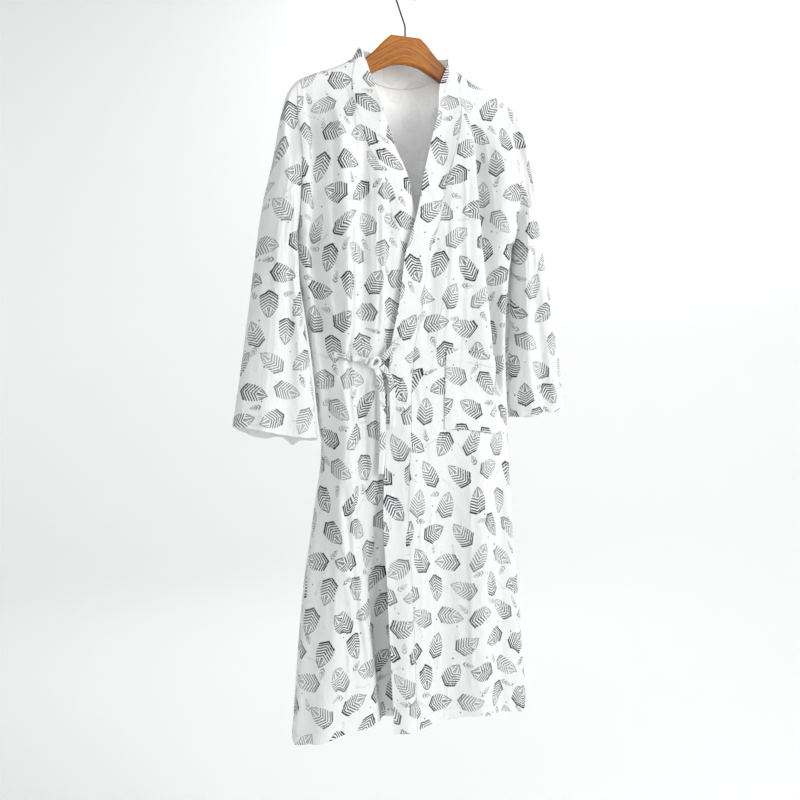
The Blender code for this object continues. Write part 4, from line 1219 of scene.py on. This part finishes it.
def stitches(name, runs, sizes):
    """One stitch is modelled, then copied to each place along the sewn lines."""
    bpy.ops.mesh.primitive_ico_sphere_add(subdivisions=1, radius=0.5)
    model = bpy.context.object
    corners = np.array([v.co for v in model.data.vertices])
    sides = np.array([list(p.vertices) for p in model.data.polygons])
    bpy.data.objects.remove(model, do_unlink=True)
    places = [sewn_run(line, normals, sizes.stitch_pitch) for line, normals in runs]
    middle, along, out = (np.concatenate([p[n] for p in places]) for n in range(3))
    beside = unit(np.cross(out, along))
    vertices = (middle[:, None, :] + out[:, None, :] * STITCH_LIFT
                + corners[None, :, 0:1] * along[:, None, :] * STITCH_LENGTH
                + corners[None, :, 1:2] * beside[:, None, :] * STITCH_THICK
                + corners[None, :, 2:3] * out[:, None, :] * STITCH_THICK)
    faces = sides[None] + (np.arange(len(middle)) * len(corners))[:, None, None]
    thread = finish_of("sewing_thread", lambda: sewing_thread(sizes))
    piece = made(name, vertices.reshape(-1, 3), faces.reshape(-1, 3), (thread,))
    return settle(piece)


def line_at(points, normals, row=None, column=None):
    """A line of the grid, between two of its rows or columns, with its normals."""
    if row is None:
        points, normals, row = points.swapaxes(0, 1), normals.swapaxes(0, 1), column
    low = min(int(row), len(points) - 2)
    part = row - low
    return tuple(grid[low] * (1.0 - part) + grid[low + 1] * part
                 for grid in (points, normals))


def hem_line(points, normals):
    """Where the hem is sewn: a line one stitch inside the turned edge."""
    above = run_lengths(points[:, points.shape[1] // 2])
    row = float(np.interp(above[-1] - HEM_STITCH, above, np.arange(len(above))))
    return line_at(points, normals, row=row)


def colour(name, description, default):
    """A colour that a user may change."""
    return FloatVectorProperty(name=name, description=description, default=default,
                               min=0.0, max=1.0, size=3, subtype="COLOR")


class RobeSizes(bpy.types.PropertyGroup):
    """Sizes, colours and lights that a user may change."""

    crinkle: FloatProperty(
        name="Crinkle", description="How deep the small creases of the gauze are",
        default=0.0015, min=0.0, max=0.003, precision=4, unit="LENGTH")
    tie_width: FloatProperty(
        name="Tie width", description="Width of the pressed ties",
        default=TIE_WIDTH, min=0.004, max=0.03, precision=4, unit="LENGTH")
    stitch_pitch: FloatProperty(
        name="Stitch pitch", description="Distance from one stitch to the next",
        default=0.0036, min=0.002, max=0.01, precision=4, unit="LENGTH")
    leaf_scale: FloatProperty(
        name="Leaf scale", description="Size of the leaf print against its own sizes",
        default=1.0, min=0.3, max=3.0, subtype="FACTOR")
    cloth_colour: colour("Cloth", "Colour of the white gauze", (0.80, 0.805, 0.80))
    cloth_shade: colour("Cloth shade", "Colour of the thicker threads in the gauze",
                        (0.68, 0.69, 0.70))
    ink_colour: colour("Ink", "Colour of the leaf print", (0.022, 0.025, 0.032))
    thread_colour: colour("Thread", "Colour of the sewing thread", (0.86, 0.86, 0.85))
    wood_colour: colour("Wood", "Colour of the pale wood", (0.50, 0.180, 0.016))
    wood_grain: colour("Wood grain", "Colour of the darker bands in the wood",
                       (0.20, 0.058, 0.006))
    wood_pore: colour("Wood pores", "Colour of the pores in the wood", (0.055, 0.016, 0.004))
    wire_colour: colour("Wire", "Colour of the hook's wire", (0.018, 0.018, 0.020))
    key_power: FloatProperty(
        name="Key light", description="Power of the large light at the viewer's right",
        default=61.0, min=0.0, max=1000.0, unit="POWER")
    room_glow: FloatProperty(
        name="Room glow", description="Brightness of the pale room's own light",
        default=0.12, min=0.0, max=5.0)
    sky_strength: FloatProperty(
        name="Sky", description="Brightness of the even light from all round",
        default=0.22, min=0.0, max=5.0)


class ROBE_OT_back(bpy.types.Operator):
    """Makes the back panel"""

    bl_idname = "robe.back"
    bl_label = "Back panel"

    def execute(self, context):
        sizes = context.scene.robe_sizes
        across = back_columns(BACK_FINE)
        low = HEM + HEM_WAVE * grain(across, 0.0, 0.05, 1.0, 73)
        points = panel_points(across, low, back_top,
                              lambda x, z: back(x, z, sizes.crinkle),
                              lambda height: body("left", height),
                              lambda height: body("right", height), row_drops())
        normals = facing(points, 1.0)
        top = normals[0].copy()
        normals = settle_panel_normals(normals, points, -1.0, 1.0)
        open_top = np.abs(across) < NECK - 0.0005
        top[:, 2] = np.maximum(top[:, 2], 0.0)
        normals[0, open_top] = top[open_top]
        normals = unit(normals)
        piece = cloth_piece("back_cloth", points, normals, CLOTH, cloths(sizes), (0.3, 0.7),
                            level=True)
        settle(piece, ("back_panel",))
        sewn = stitches("back_stitches", [hem_line(points, normals)], sizes)
        return {"FINISHED"}


class ROBE_OT_fronts(bpy.types.Operator):
    """Makes the two front panels"""

    bl_idname = "robe.fronts"
    bl_label = "Front panels"

    def execute(self, context):
        sizes = context.scene.robe_sizes
        parts = np.linspace(0.0, 1.0, FRONT_FINE)
        for name, over, node, area, shift in (
                ("right_front_cloth", False, "right_front", RIGHT_FRONT_AREA, (1.9, 0.2)),
                ("left_front_cloth", True, "left_front", LEFT_FRONT_AREA, (4.1, 0.5))):
            points = front_points(over, parts, row_drops(), sizes.crinkle)
            normals = facing(points, -1.0)
            normals = settle_panel_normals(normals, points, 1.0 if over else -1.0, 0.0)
            normals[:, -1] = seam_normals(points[:, -1])
            piece = cloth_piece(name, points, normals, CLOTH, cloths(sizes), shift,
                                level=True)
            settle(piece, (node,))
            sewn = stitches(node + "_stitches", [hem_line(points, normals)], sizes)
        return {"FINISHED"}


class ROBE_OT_sleeves(bpy.types.Operator):
    """Makes the two sleeves"""

    bl_idname = "robe.sleeves"
    bl_label = "Sleeves"

    def execute(self, context):
        sizes = context.scene.robe_sizes
        for name, table, fold_table, side, seed, area, shift in (
                ("right_sleeve", RIGHT_SLEEVE, RIGHT_SLEEVE_FOLDS, "left", 111,
                 RIGHT_SLEEVE_AREA, (6.2, 0.1)),
                ("left_sleeve", LEFT_SLEEVE, LEFT_SLEEVE_FOLDS, "right", 131,
                 LEFT_SLEEVE_AREA, (8.4, 0.9))):
            points = sleeve_points(table, fold_table, side, sizes.crinkle, seed)
            normals = normals_of(points, wrap=True)
            centre = points.mean(axis=1, keepdims=True)
            if ((points - centre) * normals).sum() < 0.0:
                normals = -normals
            normals[0, :, 0] = 0.0
            normals[-1, :, 2] *= CUFF_LEVEL
            normals = unit(normals)
            piece = cloth_piece(name + "_cloth", points, normals, CLOTH, cloths(sizes),
                                shift, wrap=True)
            settle(piece, (name,))
            closed = [np.concatenate([way, way[:1]]) for way in hem_line(points, normals)]
            sewn = stitches(name + "_stitches", [closed], sizes)
        return {"FINISHED"}


class ROBE_OT_band(bpy.types.Operator):
    """Makes the neck band with its row of stitches"""

    bl_idname = "robe.band"
    bl_label = "Neck band"

    def execute(self, context):
        sizes = context.scene.robe_sizes
        drops = row_drops()
        points = band_points(drops, sizes.crinkle)
        normals = normals_of(points)
        rows = len(drops)
        if normals[rows // 3, BAND_ACROSS // 2, 1] > 0.0:
            normals = -normals
        normals[0, :, 2] = 0.0
        normals[-1, :, 2] = 0.0
        normals[rows:-rows, -1, 2] = 0.0
        normals[:rows, -1] = seam_normals(points[:rows, -1][::-1])[::-1]
        normals[-rows:, -1] = seam_normals(points[-rows:, -1])
        normals = unit(normals)
        piece = cloth_piece("collar_band_cloth", points, normals, BAND_CLOTH,
                            cloths(sizes), (10.3, 0.4),
                            edges=np.full(points.shape[:2], 1.0))
        settle(piece, ("collar_band",))
        last = BAND_ACROSS - 1.0
        runs = [line_at(points, normals, column=last * BAND_STITCH)]
        sewn = stitches("collar_band_stitches", runs, sizes)
        return {"FINISHED"}


class ROBE_OT_pocket(bpy.types.Operator):
    """Makes the patch pocket on the over front"""

    bl_idname = "robe.pocket"
    bl_label = "Patch pocket"

    def execute(self, context):
        sizes = context.scene.robe_sizes
        shares = np.array(POCKET_SIDES) / (FRONT_COLUMNS - 1)
        parts = np.linspace(*(shares ** FRONT_CROWDING), POCKET_ACROSS)
        drops = np.linspace(*POCKET_DROPS, POCKET_DOWN) / CLOTH_DROP
        points = front_points(True, parts, drops, sizes.crinkle)
        normals = facing(points, -1.0)
        down = np.linspace(0.0, 1.0, len(drops))[:, None]
        over = np.linspace(0.0, 1.0, len(parts))[None, :]
        sag = POCKET_SAG * np.exp(-(down / 0.25) ** 2) * np.sin(math.pi * over)
        loose = POCKET_LOOSE * (1.0 + grain(over + down * 0.2, down, 0.16, 0.3, 151))
        sag = sag + loose * np.sin(math.pi * over) * np.sin(math.pi * down)
        points = points + normals * (POCKET_OFF + CLOTH + sag)[..., None]
        piece = cloth_piece("patch_pocket_cloth", points, normals, CLOTH, cloths(sizes),
                            (12.1, 0.3), edges=cloth_lengths(points)[1])
        settle(piece, ("patch_pocket",))
        end = len(drops) - 1.0
        side = len(parts) - 1.0
        runs = [line_at(points, normals, row=end * share) for share in POCKET_ROWS]
        runs += [line_at(points, normals, column=side * share) for share in POCKET_EDGES]
        sewn = stitches("patch_pocket_stitches", runs, sizes)
        return {"FINISHED"}


class ROBE_OT_ties(bpy.types.Operator):
    """Makes the ties, their hanging ends and the knot"""

    bl_idname = "robe.ties"
    bl_label = "Ties and knot"

    def execute(self, context):
        sizes = context.scene.robe_sizes
        cloth = finish_of("leaf_tie", lambda: cotton("leaf_tie", sizes, TIE_INK))
        for name, way, rows, shift in (
                ("side_tie", (0.0, 0.0, 1.0), SIDE_TIE, (14.037, 0.003)),
                ("front_tie", (0.3, 0.0, 1.0), FRONT_TIE, (14.346, 0.110)),
                ("tie_end_short", (1.0, 0.0, 0.2), SHORT_END, (14.658, 0.218)),
                ("tie_end_long", (1.0, 0.0, 0.0), LONG_END, (14.968, 0.326))):
            place = off_side if name == "side_tie" else ahead
            path = [place(x, z, off, sizes.crinkle) for x, z, off in rows]
            piece = tie_piece(name + "_cloth", path, way, sizes, cloth, shift)
            settle(piece, (name,))
        self.knot(sizes, cloth)
        return {"FINISHED"}

    def knot(self, sizes, cloth):
        """The knot: an eye of twisted cloth with one turn of the tie round its side."""
        knot_x, knot_z = KNOT
        wide, deep, tall = KNOT_SIZE
        knot_y = ahead(knot_x, knot_z, deep / 2, sizes.crinkle)[1]
        turn = np.linspace(0.0, 2.0 * math.pi, 49)[:-1]
        eye = (knot_x + 0.38 * wide * np.cos(turn), knot_y + 0.06 * wide * np.sin(2.0 * turn),
               knot_z + 0.52 * tall * np.sin(turn + 0.3))
        hitch = (knot_x - 0.36 * wide + 0.102 * wide * np.sin(turn),
                 knot_y + 0.33 * deep * np.cos(turn), knot_z + 0.318 * tall * np.sin(turn))
        curve = bpy.data.curves.new("tie_knot_cloth", "CURVE")
        curve.dimensions = "3D"
        curve.bevel_depth = KNOT_TUBE
        curve.bevel_resolution = 4
        for x, y, z in (eye, hitch):
            line = curve.splines.new("POLY")
            line.points.add(len(turn) - 1)
            for point, spot in zip(line.points, zip(x, y, z)):
                point.co = (*spot, 1.0)
            line.use_cyclic_u = True
        piece = bpy.data.objects.new("tie_knot_cloth", curve)
        bpy.context.collection.objects.link(piece)
        choose(piece)
        bpy.ops.object.convert(target="MESH")
        piece = bpy.context.object
        mesh = piece.data
        mesh.materials.clear()
        mesh.materials.append(cloth)
        for old in list(mesh.uv_layers):
            mesh.uv_layers.remove(old)
        places = np.array([v.co for v in mesh.vertices])
        x, y, z = places[[c.vertex_index for c in mesh.loops]].T
        dress(mesh, np.stack([x + 16.0, z + y], axis=1), np.ones(len(places)))
        mesh.polygons.foreach_set("use_smooth", np.ones(len(mesh.polygons), bool))
        settle(piece, ("tie_knot",))


class ROBE_OT_hanger(bpy.types.Operator):
    """Finishes the wooden hanger and its wire hook"""

    bl_idname = "robe.hanger"
    bl_label = "Hanger"

    def execute(self, context):
        sizes = context.scene.robe_sizes
        for node, make in (("hanger_wood", varnished_wood), ("hanger_hook", dark_wire)):
            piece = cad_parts[node]
            piece.data.materials.clear()
            piece.data.materials.append(make(sizes))
        return {"FINISHED"}


class ROBE_OT_stage(bpy.types.Operator):
    """Makes the pale room, the soft lights and the camera"""

    bl_idname = "robe.stage"
    bl_label = "Room, lights and camera"

    def execute(self, context):
        sizes = context.scene.robe_sizes
        bpy.ops.object.select_all(action="DESELECT")
        bpy.ops.mesh.primitive_cylinder_add(
            vertices=96, radius=ROOM_RADIUS, depth=ROOM_HEIGHT,
            location=(0.0, 0.0, ROOM_FLOOR + ROOM_HEIGHT / 2))
        room = context.object
        room.name = "pale_room"
        bpy.ops.object.transform_apply(location=True, rotation=True, scale=True)
        bpy.ops.object.mode_set(mode="EDIT")
        bpy.ops.mesh.select_all(action="DESELECT")
        bpy.ops.object.mode_set(mode="OBJECT")
        for polygon in room.data.polygons:
            polygon.select = polygon.center.z > ROOM_FLOOR + ROOM_HEIGHT - 0.01
        bpy.ops.object.mode_set(mode="EDIT")
        bpy.ops.mesh.select_mode(type="FACE")
        bpy.ops.mesh.delete(type="FACE")
        bpy.ops.mesh.select_mode(type="EDGE")
        bpy.ops.mesh.select_all(action="DESELECT")
        bpy.ops.object.mode_set(mode="OBJECT")
        for line in room.data.edges:
            ends = [room.data.vertices[n].co.z for n in line.vertices]
            line.select = max(ends) < ROOM_FLOOR + 0.01
        bpy.ops.object.mode_set(mode="EDIT")
        bpy.ops.mesh.bevel(offset=ROOM_SWEEP, segments=12, affect="EDGES")
        bpy.ops.mesh.select_all(action="SELECT")
        bpy.ops.mesh.flip_normals()
        bpy.ops.object.mode_set(mode="OBJECT")
        bpy.ops.object.shade_smooth()
        pale = Finish("pale_room", 0.95, (("Base Color", (0.88, 0.885, 0.88, 1.0)),
                                          ("Specular IOR Level", 0.1),
                                          ("Emission Color", (1.0, 1.0, 0.985, 1.0)),
                                          ("Emission Strength", sizes.room_glow)))
        room.data.materials.append(pale.material)

        for name, place, target, size, power in LIGHTS:
            lamp = bpy.data.lights.new(name, "AREA")
            lamp.shape = "RECTANGLE"
            lamp.size, lamp.size_y = size
            lamp.energy = power * sizes.key_power
            set_up(name, lamp, place, target).visible_camera = False

        sky = bpy.data.worlds.new("soft_sky")
        sky.use_nodes = True
        background = sky.node_tree.nodes["Background"]
        background.inputs["Color"].default_value = (0.93, 0.955, 1.0, 1.0)
        background.inputs["Strength"].default_value = sizes.sky_strength
        context.scene.world = sky

        seen = bpy.data.cameras.new("camera")
        seen.lens = CAMERA_LENS
        seen.sensor_width = CAMERA_SENSOR
        seen.clip_end = 50.0
        turn, lift = math.radians(CAMERA_TURN), math.radians(CAMERA_LIFT)
        place = (LOOK_AT[0] + CAMERA_AWAY * math.sin(turn) * math.cos(lift),
                 LOOK_AT[1] - CAMERA_AWAY * math.cos(turn) * math.cos(lift),
                 LOOK_AT[2] + CAMERA_AWAY * math.sin(lift))
        context.scene.camera = set_up("camera", seen, place, LOOK_AT)
        context.scene.view_settings.view_transform = "Standard"
        return {"FINISHED"}


def set_up(name, data, place, target):
    """Puts a lamp or a camera at a place and turns it to a target."""
    away = np.array(target) - np.array(place)
    flat = math.hypot(away[0], away[1])
    thing = bpy.data.objects.new(name, data)
    thing.location = place
    thing.rotation_euler = (math.pi / 2 + math.atan2(away[2], flat), 0.0,
                            math.atan2(-away[0], away[1]))
    bpy.context.collection.objects.link(thing)
    return thing


class ROBE_PT_panel(bpy.types.Panel):
    """Lists the sizes and the steps that build the robe"""

    bl_label = "Kimono robe"
    bl_idname = "ROBE_PT_panel"
    bl_space_type = "VIEW_3D"
    bl_region_type = "UI"
    bl_category = "Robe"

    def draw(self, context):
        sizes = context.scene.robe_sizes
        for name in RobeSizes.__annotations__:
            self.layout.prop(sizes, name)
        for step in STEPS:
            self.layout.operator(step.bl_idname)


STEPS = (ROBE_OT_back, ROBE_OT_fronts, ROBE_OT_sleeves, ROBE_OT_band, ROBE_OT_pocket,
         ROBE_OT_ties, ROBE_OT_hanger, ROBE_OT_stage)
CLASSES = (RobeSizes,) + STEPS + (ROBE_PT_panel,)


def register():
    for known in CLASSES:
        bpy.utils.register_class(known)
    bpy.types.Scene.robe_sizes = PointerProperty(type=RobeSizes)


def unregister():
    del bpy.types.Scene.robe_sizes
    for known in reversed(CLASSES):
        bpy.utils.unregister_class(known)


def main():
    register()
    bpy.ops.robe.back()
    bpy.ops.robe.fronts()
    bpy.ops.robe.sleeves()
    bpy.ops.robe.band()
    bpy.ops.robe.pocket()
    bpy.ops.robe.ties()
    bpy.ops.robe.hanger()
    bpy.ops.robe.stage()


if __name__ == "__main__":
    main()
